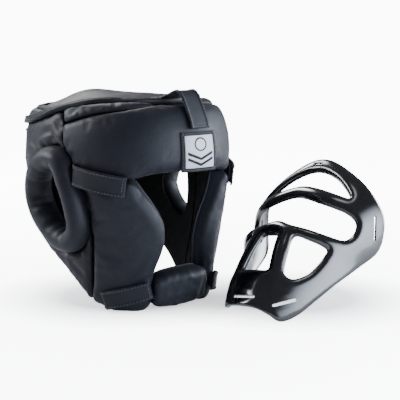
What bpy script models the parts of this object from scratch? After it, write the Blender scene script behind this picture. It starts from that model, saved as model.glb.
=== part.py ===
"""Boxing headgear with a clip-on face guard, set down beside it.

The headgear is built from pattern pieces wrapped on one padded head form. A pattern is an outline in
(angle, height): the angle in degrees runs from the centre of the face round to the wearer's right, and
the height in millimetres climbs the form and then runs inwards over the crown. Every padded piece is a
cover, open towards the head, with a foam core in it and a lining behind it. Hook-and-loop straps fold
open on hinges. The guard is one moulded shell on its own form. Lengths are millimetres up to add_mesh.
"""

import math

import bpy
from mathutils import Matrix, Vector
from mathutils.geometry import delaunay_2d_cdt

MM = 0.001

# --- the set on its surface -------------------------------------------------------------------------
HEAD_CENTRE = Vector((-24.8, 61.9, 0.0))  # the head's axis, from the middle of the whole set's footprint
GUARD_ORIGIN = Vector((110.4, -181.0, -40.2))  # the guard's own origin, from the head's axis
GUARD_YAW = -92.3  # the guard looks to the headgear's right
GUARD_LEAN = 26.2  # and leans back on its two chin lobes
GUARD_ROLL = -8.6

# --- the padded head form ---------------------------------------------------------------------------
HALF_WIDTH, HALF_DEPTH, ROUNDNESS = 105.0, 125.0, 2.15
FORM = (  # (height along the form, share of the full girth, height above the surface)
    (-12, 0.785, -12), (0, 0.80, 0), (40, 0.85, 40), (80, 0.905, 80), (120, 0.965, 120), (150, 0.995, 150),
    (170, 1.0, 170), (190, 0.985, 190), (210, 0.945, 209), (225, 0.885, 221), (240, 0.78, 227.5),
    (265, 0.57, 231.5), (300, 0.27, 233.5), (330, 0.0, 234),
)
REAR_DROP = 9.0  # how much lower the back of the crown is
MM_PER_DEGREE = 1.85  # a degree round the form, in millimetres of pattern

# --- layers, as distances out from the form's surface ------------------------------------------------
PAD_BACK = -20.0
SKIN = 1.4  # synthetic leather with its backing
FOAM_GAP = 1.3
LINING = (-22.2, -20.8)
EDGE_ROUND = 15.0  # how far in from its edge a pad reaches full thickness
EDGE_SHARE = 0.42  # how much of its thickness it has at the edge
SEAM = 1.0  # each pattern stops this far short of its seam line
CROWN_BACK = -12.0

# --- pattern pieces: (degrees, millimetres), right side; the left is mirrored -------------------------
FOREHEAD_HALF = (
    (0, 153.5), (10, 153.2), (21, 152), (30, 149.5), (37, 146.5), (46, 147), (56, 150), (66, 156),
    (73, 164), (78, 177), (81, 190), (81.5, 204), (71, 211.5), (61, 217), (50, 221.5), (39, 224.5),
    (19, 226), (0, 226.5),
)
CHEEK = (
    (36, 144.2), (29.8, 130), (22.7, 113.5), (17.2, 98), (15.6, 78), (17.6, 60), (20.6, 46),
    (22, 34), (22, 18), (23.8, 4), (32, -4), (47, -4), (57, 2), (65, 11), (63.5, 30),
    (62.5, 47), (61.2, 78), (63.2, 108), (66, 135), (67.5, 148), (60, 149.5), (50, 146), (42, 144.4),
)
SIDE = (
    (68.5, 135), (70.5, 152), (76, 162), (80, 174), (83.2, 189), (84, 205), (85.5, 219), (100, 214),
    (121, 205), (150, 198.8), (152, 160), (151, 120), (149, 97), (136, 81), (124, 68), (111, 56),
    (100, 46), (90, 35), (78, 20), (66.5, 9.5), (65, 30), (64.5, 47), (63.3, 78), (65.5, 108),
)
CROWN_CRESCENT = (
    (81.5, 208.6), (72, 214), (62, 219.4), (50, 225.4), (42, 228.6), (34, 231.8), (25, 235), (19, 238),
    (19, 241), (28, 246.5), (37, 248.5), (50, 244), (63, 237.5), (75, 232), (85.5, 228.6), (86, 223.5),
    (82.5, 217),
)
CROWN_REAR_HALF = (
    (180, 199.8), (160, 200), (150, 200.2), (135, 203), (121, 206.4), (109, 211.8), (101, 217.5), (99, 225),
    (106, 230), (125, 232.5), (150, 233), (180, 233),
)
CROWN_TOP_HALF = (  # (degrees, share of the full girth)
    (0, 0.61), (9, 0.61), (18, 0.612), (27, 0.625), (37, 0.645), (50, 0.69), (63, 0.74), (75, 0.775),
    (90, 0.79), (110, 0.80), (135, 0.80), (160, 0.80), (180, 0.80),
)
OCCIPITAL_HALF = ((180, 92), (168, 93), (157, 99), (155, 112), (155, 132), (159, 141), (180, 143))
STRETCH_HALF = ((180, 147), (165, 147), (155.5, 149), (155, 170), (155, 192), (160, 196.5), (180, 197))
CHIN_CUP = (
    (0, 43.5), (9, 42.5), (16.5, 39.5), (20.4, 33), (20.8, 22), (20.6, 9), (17.5, 3.4), (9, 2.6), (0, 3.2),
    (-8, 4.4), (-16, 7), (-19.2, 14), (-19.2, 36), (-17, 42), (-10, 43.6),
)

# --- ear rings ----------------------------------------------------------------------------------------
EAR_RING = (  # the outer edge of the roll
    (92, 179), (80, 176.5), (73.5, 164), (70.2, 147), (66.8, 128.5), (64.4, 107), (64.4, 89), (69.5, 72),
    (79, 62), (93, 65), (106, 80), (115, 99), (118.5, 121), (115, 146), (105, 168),
)
ROLL_HALF_WIDTH, ROLL_HALF_DEPTH, ROLL_OFFSET = 13.0, 16.0, -3.0
ROLL_SLIT = 26.0  # half the slit at the back of the roll's cover, in degrees
EAR_GAP = 1.3  # between the roll and the pads round it
EAR_HOLE_INSET = 22.0  # how far inside the roll's outer edge the lining stops

# --- straps -------------------------------------------------------------------------------------------
STRAP_THICK = 2.2
TAPE_THICK = 1.3
LOOP_TAPE_OFFSET, HOOK_TAPE_OFFSET, STRAP_OFFSET = 2.4, 4.2, 6.3
STRAPS = {  # name: (sewn end, free end, width, extra arch at the middle)
    "cheek_strap": ((68.2, 150.8), (39.0, 140.5), 22.5, 2.0),
    "chin_strap": ((52.5, 13.2), (24.6, 27.0), 20.0, 1.0),
}
CROWN_STRAP_WIDTH = 26.0
CROWN_STRAP = (  # (back to front, height) of its middle line, from its sewn end on the crown
    (-58, 235.2), (-68, 235.4), (-77, 236.0), (-85, 237.4), (-92, 239.4), (-99, 240.2), (-105, 238.6),
    (-111, 232.4), (-117.5, 222.0), (-123.0, 211), (-127.0, 201),
)
REAR_STRAP_WIDTH, REAR_STRAP_HEIGHT = 36.0, 172.0
REAR_STRAP_SEWN, REAR_STRAP_FREE = 149.5, 222.0  # degrees
REAR_TAPE_OFFSETS, REAR_STRAP_OFFSET = (-1.8, -0.2), 1.8
LABEL_HALF = (11.3, 21.2)  # degrees, millimetres
LABEL_HEIGHT = 175.6
LABEL_BORDER = 4.0

# --- face guard ---------------------------------------------------------------------------------------
GUARD_FORM = (  # (height, half width, depth in front of the guard's axis)
    (-6, 61, 114.6), (14, 69, 112), (44, 75, 108), (74, 78, 101.5), (104, 85.5, 90.5),
    (129, 90, 78.5), (149, 89, 68), (169, 81, 57), (189, 65, 46), (206, 46, 38),
)
GUARD_ROUNDNESS = 2.2
GUARD_WALL = 3.2
GUARD_OUTLINE = (  # all the way round, because its weight has bent its right lobe up a little
    (0, 5), (10, 5.6), (18, 6), (26, 8.3), (34, 15), (44.5, 31.5), (56, 51), (70, 74), (82, 95),
    (84.5, 108), (83.2, 121), (79.5, 139), (71.6, 156), (60, 176), (44, 191), (24, 200), (0, 203),
    (-24, 200), (-44, 191), (-60, 176), (-71.6, 156), (-79.5, 139), (-83.2, 121), (-84.5, 108),
    (-82, 95), (-70, 74), (-56, 51), (-44.5, 28), (-34, 6), (-25, -5), (-18, -1), (-10, 3.6),
)
GUARD_EYES_HALF = (
    (0, 112), (14, 106.6), (28, 103), (42, 99.5), (53.4, 98.8), (59, 104.5), (61.2, 114), (59.5, 123.5),
    (52, 131), (40, 136.2), (27, 141), (14, 146), (0, 149),
)
GUARD_ARCH_HALF = (
    (0, 163.5), (16, 161), (30, 157), (42, 152.5), (51, 150), (51.5, 155), (46, 166), (38, 176),
    (27, 182.6), (14, 186.5), (0, 188),
)
GUARD_MOUTH = ((-6.8, 94), (6.8, 94), (11, 48), (-11, 48))
GUARD_CHEEK_WINDOW = (
    (19.3, 93.2), (31, 90.5), (43.7, 84.5), (43.5, 77), (41, 67.8), (35.5, 53), (27.8, 43.2),
    (22.5, 45), (20.4, 52), (19.2, 72),
)
GUARD_SLOTS = {  # name: (one end, other end, width)
    "brow": ((-9, 195.5), (9, 195.5), 3.2),
    "chin": ((-7.8, 15), (7.8, 15), 3.2),
    "jaw": ((20, 9.7), (30.8, 21), 3.2),
    "cheek": ((76.4, 110.7), (71.9, 134.1), 3.2),
}


# ------------------------------------------------------------------------------------------- geometry
def hermite(table, at):
    """The table's columns after the first, read at a value of the first, on a smooth curve."""
    at = min(max(at, table[0][0]), table[-1][0])
    i = max(k for k in range(len(table) - 1) if table[k][0] <= at)
    span = table[i + 1][0] - table[i][0]
    t = (at - table[i][0]) / span

    def slope(k, column):
        a, b = table[max(k - 1, 0)], table[min(k + 1, len(table) - 1)]
        return (b[column] - a[column]) / (b[0] - a[0]) * span

    out = []
    for column in range(1, len(table[0])):
        p, q = table[i][column], table[i + 1][column]
        m, n = slope(i, column), slope(i + 1, column)
        out.append(
            p * (2 * t**3 - 3 * t**2 + 1) + m * (t**3 - 2 * t**2 + t)
            + q * (3 * t**2 - 2 * t**3) + n * (t**3 - t**2)
        )
    return out


def superellipse(angle, half_width, half_depth, power):
    """(x, y) at an angle from the front, turning to the wearer's right."""
    c, s = math.cos(angle), math.sin(angle)
    r = (abs(c / half_depth) ** power + abs(s / half_width) ** power) ** (-1 / power)
    return -r * s, -r * c


def with_offset(surface, a, b, offset):
    """A point of surface(a, b), moved out along the surface's own normal."""
    step = 0.05
    along = surface(a + step, b) - surface(a - step, b)
    up = surface(a, b + step) - surface(a, b - step)
    return surface(a, b) + along.cross(up).normalized() * -offset


def eased(t):
    t = min(1.0, max(0.0, t))
    return t * t * (3 - 2 * t)


def rear_drop(degrees, share):
    """How far the crown is let down at an angle and a share of the full girth."""
    return REAR_DROP * eased((abs(degrees) - 60) / 55) * eased((0.99 - share) / 0.19) * eased(share / 0.6)


def head_surface(a, b):
    """a is millimetres of pattern round the form, b the height along it."""
    share, z = hermite(FORM, b)
    degrees = (a / MM_PER_DEGREE + 180) % 360 - 180
    if b > 170:
        z -= rear_drop(degrees, share)
    x, y = superellipse(math.radians(degrees), HALF_WIDTH, HALF_DEPTH, ROUNDNESS)
    return Vector((x * share, y * share, z))


def on_head(a, b, offset):
    return with_offset(head_surface, a, b, offset)


def crown_surface(x, y):
    """The same form read from above, for the pads that cross its top."""
    angle = math.atan2(-x, -y)
    full = Vector(superellipse(angle, HALF_WIDTH, HALF_DEPTH, ROUNDNESS)).length
    share = math.hypot(x, y) / full
    table = [(row[1], row[2]) for row in reversed(FORM[8:])]
    return Vector((x, y, hermite(table, share)[0] - rear_drop(math.degrees(angle), share)))


def on_crown(x, y, offset):
    return with_offset(crown_surface, x, y, -offset)


def guard_surface(a, b):
    half_width, depth = hermite(GUARD_FORM, b)
    x, y = superellipse(math.radians(a / MM_PER_DEGREE), half_width, depth, GUARD_ROUNDNESS)
    return Vector((x, y, b))


def on_guard(a, b, offset):
    return with_offset(guard_surface, a, b, offset)


def pattern(points):
    """Outline points from (degrees, millimetres) to millimetres both ways."""
    return [Vector((p[0] * MM_PER_DEGREE, p[1])) for p in points]


def mirrored(points):
    return [Vector((-p[0], p[1])) for p in reversed(points)]


def both_halves(half):
    """A closed outline from its right half, whose first and last points are on the centreline."""
    right = pattern(half)
    centre = right[0].x
    left = [Vector((2 * centre - p.x, p.y)) for p in reversed(right[1:-1])]
    return right + left


def resampled(outline, pitch, smooth=True):
    """The outline as a closed Catmull-Rom curve, cut into even steps of about the pitch."""
    fine = []
    n = len(outline)
    for i in range(n):
        p0, p1, p2, p3 = (outline[(i + k - 1) % n] for k in range(4))
        for k in range(8):
            t = k / 8
            if smooth:
                fine.append(
                    0.5 * (2 * p1 + (p2 - p0) * t + (2 * p0 - 5 * p1 + 4 * p2 - p3) * t**2
                           + (3 * p1 - p0 - 3 * p2 + p3) * t**3)
                )
            else:
                fine.append(p1.lerp(p2, t))
    lengths = [0.0]
    for i in range(len(fine)):
        lengths.append(lengths[-1] + (fine[(i + 1) % len(fine)] - fine[i]).length)
    count = max(6, round(lengths[-1] / pitch))
    out, i = [], 0
    for k in range(count):
        target = lengths[-1] * k / count
        while lengths[i + 1] < target:
            i += 1
        t = (target - lengths[i]) / max(lengths[i + 1] - lengths[i], 1e-9)
        out.append(fine[i].lerp(fine[(i + 1) % len(fine)], t))
    return out


def signed_area(outline):
    n = len(outline)
    return sum(outline[i].cross(outline[(i + 1) % n]) for i in range(n)) / 2


def inset(outline, distance):
    """The outline moved inwards by a distance; a negative one moves it outwards."""
    turn = 1 if signed_area(outline) > 0 else -1
    n, out = len(outline), []
    for i in range(n):
        before = (outline[i] - outline[i - 1]).normalized()
        after = (outline[(i + 1) % n] - outline[i]).normalized()
        normal = Vector((-(before + after).y, (before + after).x)).normalized() * turn
        stretch = 1 / max(0.4, math.sqrt(max(0.0, (1 + before.dot(after)) / 2)))
        moved = outline[i] + normal * distance * stretch
        if edge_distance(moved, [outline]) > abs(distance) * 0.93:
            out.append(moved)
    return untangled(out)


def crossing(a, b, c, d):
    def side(p, q, r):
        return (q - p).cross(r - p)

    return side(a, b, c) * side(a, b, d) < 0 and side(c, d, a) * side(c, d, b) < 0


def untangled(loop, reach=9):
    """The loop without the small knots that moving its sharp corners makes."""
    i = 0
    while i < len(loop):
        n = len(loop)
        for step in range(min(reach, n // 3), 1, -1):
            j = (i + step) % n
            if crossing(loop[i], loop[(i + 1) % n], loop[j], loop[(j + 1) % n]):
                dropped = {(i + k) % n for k in range(1, step + 1)}
                loop = [p for k, p in enumerate(loop) if k not in dropped]
                i = -1
                break
        i += 1
    return loop


def edge_distance(p, loops):
    best = 1e9
    for loop in loops:
        for i in range(len(loop)):
            a, b = loop[i - 1], loop[i]
            ab = b - a
            t = min(1, max(0, (p - a).dot(ab) / max(ab.length_squared, 1e-12)))
            best = min(best, (a + ab * t - p).length)
    return best


def inside(p, loop):
    hit = False
    for i in range(len(loop)):
        a, b = loop[i - 1], loop[i]
        if (a.y > p.y) != (b.y > p.y) and p.x < (b.x - a.x) * (p.y - a.y) / (b.y - a.y) + a.x:
            hit = not hit
    return hit


def notched(outline, cut, blunt=4.0):
    """The outline with a bite out of its edge, where a second outline crosses it, and the thin points
    that the bite leaves cut back."""

    def run(points, keep):
        flags = [keep(p) for p in points]
        if all(flags) or not any(flags):
            return points if flags[0] else []
        first = next(i for i in range(len(points)) if flags[i] and not flags[i - 1])
        turned = points[first:] + points[:first]
        return [p for p in turned if keep(p)]

    kept = run(outline, lambda p: not inside(p, cut) and edge_distance(p, [cut]) > blunt)
    bite = run(cut, lambda p: inside(p, outline) and edge_distance(p, [outline]) > blunt)
    if len(kept) == len(outline) or not bite:
        return outline
    if signed_area(outline) * signed_area(cut) > 0:
        bite = bite[::-1]
    return kept + bite


def triangulated(loops, pitch, inner=(), seeds=()):
    """Points and triangles filling loops[0] less the other loops, with points every pitch or so. The
    triangles' edges follow the inner loops too, and seeds are points wanted inside."""
    points, edges = [], []
    for loop in [*loops, *inner]:
        first = len(points)
        points.extend(loop)
        edges.extend((first + i, first + (i + 1) % len(loop)) for i in range(len(loop)))
    bounds = [*loops, *inner]
    for seed in seeds:
        if edge_distance(seed, bounds) > 1.5 and all((seed - p).length > pitch * 0.45 for p in points):
            points.append(seed)
    fixed = list(points)
    low = [min(p[k] for p in loops[0]) for k in (0, 1)]
    high = [max(p[k] for p in loops[0]) for k in (0, 1)]
    rows = round((high[1] - low[1]) / (pitch * 0.87))
    for row in range(1, rows):
        y = low[1] + (high[1] - low[1]) * row / rows
        x = low[0] + pitch * (0.5 if row % 2 else 1.0)
        while x < high[0]:
            p = Vector((x, y))
            x += pitch
            if inside(p, loops[0]) and not any(inside(p, hole) for hole in loops[1:]):
                if edge_distance(p, bounds) > pitch * 0.4 and all(
                    (p - q).length > pitch * 0.6 for q in fixed
                ):
                    points.append(p)
    vertices, _, faces, *_ = delaunay_2d_cdt([Vector(p) for p in points], edges, [], 0, 1e-6)
    assert len(vertices) == len(points), "an outline crosses itself or another one"
    kept = []
    for face in faces:
        middle = sum((points[i] for i in face), Vector((0, 0))) / 3
        if inside(middle, loops[0]) and not any(inside(middle, hole) for hole in loops[1:]):
            a, b, c = (points[i] for i in face)
            kept.append(tuple(face) if (b - a).cross(c - a) > 0 else tuple(reversed(face)))
    return points, kept


def region(flat, triangles, loops):
    """The triangles that lie in loops[0] and outside the other loops."""
    kept = []
    for t in triangles:
        middle = sum((flat[i] for i in t), Vector((0, 0))) / 3
        if inside(middle, loops[0]) and not any(inside(middle, hole) for hole in loops[1:]):
            kept.append(t)
    return kept


def boundary(triangles):
    """The directed edges that only one triangle has."""
    edges = {(t[i - 1], t[i]) for t in triangles for i in range(3)}
    return [e for e in sorted(edges) if (e[1], e[0]) not in edges]


# --------------------------------------------------------------------------------------------- meshes
def add_mesh(name, points, faces, material, place=None, pivot=None):
    """One node: a mesh in metres, at the place in the set that the matrix gives, with its origin at a
    pivot on the headgear."""
    place = place or Matrix.Translation(HEAD_CENTRE)
    origin = place @ pivot if pivot else Vector((0, 0, 0))
    mesh = bpy.data.meshes.new(name)
    mesh.from_pydata([(place @ p - origin) * MM for p in points], [], faces)
    mesh.validate()
    mesh.materials.append(material)
    mesh.shade_smooth()
    mesh.set_sharp_from_angle(angle=math.radians(40))
    made = bpy.data.objects.new(name, mesh)
    made.location = origin * MM
    bpy.context.scene.collection.objects.link(made)
    return made


def flattened(p, floor):
    return Vector((p.x, p.y, max(p.z, floor)))


def slab(flat, triangles, surface, top, bottom, floor=-1e9):
    """Points and faces of a solid over the triangles, between two heights above a surface, which are
    functions of the pattern point."""
    used = sorted({i for t in triangles for i in t})
    n = len(used)
    upper = {i: k for k, i in enumerate(used)}
    points = [flattened(surface(*flat[i], top(flat[i])), floor) for i in used]
    points += [flattened(surface(*flat[i], bottom(flat[i])), floor) for i in used]
    faces = [tuple(upper[i] for i in t) for t in triangles]
    faces += [tuple(n + upper[i] for i in reversed(t)) for t in triangles]
    faces += [(upper[b], upper[a], n + upper[a], n + upper[b]) for a, b in boundary(triangles)]
    return points, faces


def tray(flat, triangles, covered, surface, top, back, skin, floor=-1e9):
    """A cover: a skin over the covered triangles, and down round them to the back, open at the back."""
    rim = [t for t in triangles if t not in set(covered)]
    points, faces = [], []

    def layer(members, height, low):
        index = {}
        for i in sorted({i for t in members for i in t}):
            index[i] = len(points)
            points.append(flattened(surface(*flat[i], height(flat[i])), low))
        return index

    up = layer(triangles, top, floor)
    ceiling = layer(covered, lambda p: top(p) - skin, floor + skin)
    foot = layer(rim, lambda p: back, floor)
    faces += [tuple(up[i] for i in t) for t in triangles]
    faces += [tuple(ceiling[i] for i in reversed(t)) for t in covered]
    faces += [tuple(foot[i] for i in reversed(t)) for t in rim]
    faces += [(up[b], up[a], foot[a], foot[b]) for a, b in boundary(triangles)]
    faces += [(ceiling[a], ceiling[b], foot[b], foot[a]) for a, b in boundary(covered)]
    return points, faces


def padded(loops, back, full, round_over=EDGE_ROUND):
    """How far out a pad's cover lies at a pattern point: full in the middle, rolled over at its edges."""

    def top(p):
        t = min(1.0, edge_distance(p, loops) / round_over)
        rise = EDGE_SHARE + (1 - EDGE_SHARE) * math.sqrt(1 - (1 - t) ** 2)
        return back + (full - back) * rise

    return top


def swept(path, section, closed):
    """Points and faces of a section, a list of (across, out), swept along a path of
    (point, across direction, out direction)."""
    points, faces = [], []
    m, n = len(section), len(path)
    for centre, across, out in path:
        points += [centre + across * u + out * v for u, v in section]
    for i in range(n if closed else n - 1):
        j = (i + 1) % n
        for k in range(m):
            l = (k + 1) % m
            faces.append((i * m + k, i * m + l, j * m + l, j * m + k))
    if not closed:
        faces.append(tuple(reversed(range(m))))
        faces.append(tuple((n - 1) * m + k for k in range(m)))
    return points, faces


def volume_is_negative(points, faces):
    total = 0.0
    for f in faces:
        for k in range(1, len(f) - 1):
            total += points[f[0]].dot(points[f[k]].cross(points[f[k + 1]]))
    return total < 0


def add_solid(name, shape, material, place=None, pivot=None):
    points, faces = shape
    if volume_is_negative(points, faces):
        faces = [tuple(reversed(f)) for f in faces]
    return add_mesh(name, points, faces, material, place, pivot)


# ------------------------------------------------------------------------------------------ materials
def material(name, colour, roughness, metallic=0.0):
    made = bpy.data.materials.new(name)
    made.use_nodes = True
    shader = made.node_tree.nodes["Principled BSDF"]
    shader.inputs["Base Color"].default_value = (*colour, 1.0)
    shader.inputs["Roughness"].default_value = roughness
    shader.inputs["Metallic"].default_value = metallic
    made.diffuse_color = (*colour, 1.0)
    return made


def make_materials():
    return {
        "leather": material("leather", (0.055, 0.06, 0.075), 0.5),
        "lining": material("lining", (0.012, 0.012, 0.013), 0.9),
        "foam": material("foam", (0.30, 0.30, 0.31), 0.95),
        "webbing": material("webbing", (0.045, 0.05, 0.06), 0.7),
        "tape": material("tape", (0.02, 0.02, 0.022), 0.95),
        "label": material("label", (0.72, 0.74, 0.76), 0.6),
        "guard": material("guard", (0.01, 0.01, 0.014), 0.08),
    }


# --------------------------------------------------------------------------------------------- pieces
def pad(name, outline, looks, full=0.0, surface=on_head, back=PAD_BACK, lining=LINING,
        pitch=21.0, floor=-1e9, round_over=EDGE_ROUND, pivot=None):
    """A cover, its foam core and its lining, all on one plan."""
    loop = inset(resampled(outline, pitch * 0.75), SEAM)
    under_skin = inset(loop, SKIN)
    core_edge = inset(under_skin, FOAM_GAP + 0.8)
    rolled = inset(loop, round_over * 0.45) + inset(loop, round_over)
    flat, triangles = triangulated([loop], pitch, [under_skin, core_edge], rolled)
    covered = region(flat, triangles, [under_skin])
    core = region(flat, triangles, [core_edge])
    top = padded([loop], back, full, round_over)
    cover = tray(flat, triangles, covered, surface, top, back, SKIN, floor)
    add_solid(name + "_cover", cover, looks["leather"], pivot=pivot)
    hidden = SKIN + FOAM_GAP
    filling = slab(flat, core, surface, lambda p: top(p) - hidden, lambda p: back + 0.3, floor + hidden + 1)
    add_solid(name + "_foam", filling, looks["foam"], pivot=pivot)
    if lining:
        back_sheet = slab(flat, triangles, surface, lambda p: lining[1], lambda p: lining[0], floor + 0.8)
        add_solid(name + "_lining", back_sheet, looks["lining"], pivot=pivot)


def sheet(name, loops, surface, top, bottom, pitch, look, place=None):
    """A sheet of even thickness over loops[0] less the holes in loops[1:]."""
    flat, triangles = triangulated(loops, pitch)
    add_solid(name, slab(flat, triangles, surface, lambda p: top, lambda p: bottom), look, place)


def ear_ring(side, outer, looks):
    """The padded roll round an ear: a cover slit along its back, and the foam rope in it."""
    centre = resampled(inset(outer, ROLL_HALF_WIDTH), 12)
    path = []
    for i, p in enumerate(centre):
        here = on_head(p.x, p.y, ROLL_OFFSET)
        out = (on_head(p.x, p.y, ROLL_OFFSET + 1) - here).normalized()
        q = centre[(i + 1) % len(centre)]
        o = centre[i - 1]
        along = (on_head(q.x, q.y, ROLL_OFFSET) - on_head(o.x, o.y, ROLL_OFFSET)).normalized()
        path.append((here, along.cross(out).normalized(), out))

    def arc(half_width, half_depth, from_angle, to_angle, count):
        steps = [math.radians(from_angle + (to_angle - from_angle) * k / (count - 1)) for k in range(count)]
        return [(half_width * math.cos(t), half_depth * math.sin(t)) for t in steps]

    start, end = -90 + ROLL_SLIT, 270 - ROLL_SLIT
    shell = arc(ROLL_HALF_WIDTH, ROLL_HALF_DEPTH, start, end, 10)
    shell += arc(ROLL_HALF_WIDTH - SKIN, ROLL_HALF_DEPTH - SKIN, end, start, 10)
    add_solid(f"ear_ring_cover_{side}", swept(path, shell, True), looks["leather"])
    thin = SKIN + 1.2
    rope = arc(ROLL_HALF_WIDTH - thin, ROLL_HALF_DEPTH - thin, 0, 324, 10)
    add_solid(f"ear_ring_foam_{side}", swept(path, rope, True), looks["foam"])


def ribbon_path(start, end, steps, offset, arch):
    """Frames along the straight pattern line between two points: (point, across, out)."""
    frames = []
    for k in range(steps + 1):
        t = k / steps
        p = start.lerp(end, t)
        rise = offset + arch * math.sin(math.pi * t)
        here = on_head(*p, rise)
        step = (end - start) * 0.01
        along = (on_head(*(p + step), rise) - on_head(*(p - step), rise)).normalized()
        out = (on_head(*p, rise + 1) - here).normalized()
        frames.append((here, along.cross(out).normalized(), out))
    return frames


def box_section(width, thickness):
    u, v = width / 2, thickness / 2
    return [(-u, -v), (u, -v), (u, v), (-u, v)]


def strap(name, path, width, thickness, look, pivot=None):
    add_solid(name, swept(path, box_section(width, thickness), False), look, pivot=pivot)


def guard_strap(kind, side, turned, looks):
    """One of the straps that hold the guard, the hook tape under its free end, and the loop tape on the
    pad. It folds open about its sewn end."""
    sewn, free, width, arch = STRAPS[kind]
    sewn, free = (turned(pattern([p]))[0] for p in (sewn, free))
    web = ribbon_path(sewn, free, 7, STRAP_OFFSET, arch)
    pivot = web[0][0]
    hooks = ribbon_path(sewn.lerp(free, 0.66), sewn.lerp(free, 0.97), 2, HOOK_TAPE_OFFSET, 0)
    loops = ribbon_path(sewn.lerp(free, 0.66), sewn.lerp(free, 0.97), 2, LOOP_TAPE_OFFSET, 0)
    strap(f"{kind}_{side}", web, width, STRAP_THICK, looks["webbing"], pivot)
    strap(f"{kind}_{side}_hooks", hooks, width - 3, TAPE_THICK, looks["tape"], pivot)
    strap(f"{kind}_{side}_loops", loops, width - 3, TAPE_THICK, looks["tape"])


def crown_strap(looks):
    """The strap from the crown over the front rim to the forehead."""
    line = [Vector((0, y, z)) for y, z in CROWN_STRAP]
    frames = []
    for i, p in enumerate(line):
        along = (line[min(i + 1, len(line) - 1)] - line[max(i - 1, 0)]).normalized()
        frames.append((p, Vector((1, 0, 0)), Vector((1, 0, 0)).cross(along)))
    pivot = line[0]
    strap("crown_strap", frames, CROWN_STRAP_WIDTH, STRAP_THICK, looks["webbing"], pivot)
    low, high = Vector((0, 200.5)), Vector((0, 213.0))
    hooks = ribbon_path(high, low, 2, HOOK_TAPE_OFFSET - 0.9, 0)
    loops = ribbon_path(high, low, 2, LOOP_TAPE_OFFSET - 0.9, 0)
    strap("crown_strap_hooks", hooks, CROWN_STRAP_WIDTH - 3, TAPE_THICK, looks["tape"], pivot)
    strap("crown_strap_loops", loops, CROWN_STRAP_WIDTH - 3, TAPE_THICK, looks["tape"])


def rear_strap(looks):
    """The closing strap across the back, sewn on the right and pressed down on the left."""
    turn = MM_PER_DEGREE
    sewn = Vector((REAR_STRAP_SEWN * turn, REAR_STRAP_HEIGHT))
    free = Vector((REAR_STRAP_FREE * turn, REAR_STRAP_HEIGHT))
    web = ribbon_path(sewn, free, 12, REAR_STRAP_OFFSET, 0)
    pivot = web[0][0]
    tape_start, tape_end = sewn.lerp(free, 0.86), sewn.lerp(free, 0.985)
    loops = ribbon_path(tape_start, tape_end, 2, REAR_TAPE_OFFSETS[0], 0)
    hooks = ribbon_path(tape_start, tape_end, 2, REAR_TAPE_OFFSETS[1], 0)
    strap("rear_strap", web, REAR_STRAP_WIDTH, STRAP_THICK, looks["webbing"], pivot)
    strap("rear_strap_hooks", hooks, REAR_STRAP_WIDTH - 4, TAPE_THICK, looks["tape"], pivot)
    strap("rear_strap_loops", loops, REAR_STRAP_WIDTH - 4, TAPE_THICK, looks["tape"])


def label(looks):
    """The patch on the forehead: a dark backing with a satin face on it."""
    half = Vector((LABEL_HALF[0] * MM_PER_DEGREE, LABEL_HALF[1]))
    signs = ((-1, -1), (1, -1), (1, 1), (-1, 1))
    corners = [Vector((x * half.x, LABEL_HEIGHT + y * half.y)) for x, y in signs]
    outline = resampled(corners, 12, smooth=False)
    sheet("label_backing", [outline], on_head, 2.0, 1.0, 12, looks["tape"])
    sheet("label_face", [inset(outline, LABEL_BORDER)], on_head, 3.2, 2.4, 12, looks["label"])


def chin_cup(looks):
    """The chin pad, hung on the left cheek."""
    pivot = on_head(-20.5 * MM_PER_DEGREE, 24, 2.0)
    pad("chin_cup", pattern(CHIN_CUP), looks, full=4.0, back=-16.0, lining=(-18.2, -16.8),
        pitch=12.0, round_over=12.0, pivot=pivot)


def slot_outline(start, end, width):
    a, b = pattern([start])[0], pattern([end])[0]
    along = (b - a).normalized() * width / 2
    side = Vector((-along.y, along.x))
    return [a - side, b - side, b + along, b + side, a + side, a - along]


def guard(looks):
    """The moulded face guard: one wall, its windows and the slots that the straps pass through."""
    outline = resampled(pattern(GUARD_OUTLINE), 11)
    eyes = resampled(both_halves(GUARD_EYES_HALF), 10)
    arch = resampled(both_halves(GUARD_ARCH_HALF), 10)
    mouth = resampled(pattern(GUARD_MOUTH), 9, smooth=False)
    window = resampled(pattern(GUARD_CHEEK_WINDOW), 8)
    holes = [eyes, arch, mouth, window, mirrored(window)]
    for name, (start, end, width) in GUARD_SLOTS.items():
        hole = slot_outline(start, end, width)
        holes.append(hole)
        if name in ("jaw", "cheek"):
            holes.append(mirrored(hole))
    place = (
        Matrix.Translation(HEAD_CENTRE + GUARD_ORIGIN)
        @ Matrix.Rotation(math.radians(GUARD_YAW), 4, "Z")
        @ Matrix.Rotation(math.radians(-GUARD_LEAN), 4, "X")
        @ Matrix.Rotation(math.radians(GUARD_ROLL), 4, "Y")
    )
    sheet("face_guard", [outline, *holes], on_guard, 0.0, -GUARD_WALL, 13, looks["guard"], place)


def crown_outline():
    right = []
    for degrees, share in CROWN_TOP_HALF:
        x, y = superellipse(math.radians(degrees), HALF_WIDTH, HALF_DEPTH, ROUNDNESS)
        right.append(Vector((x * share, y * share)))
    return right + [Vector((-p.x, p.y)) for p in reversed(right[1:-1])]


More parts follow.
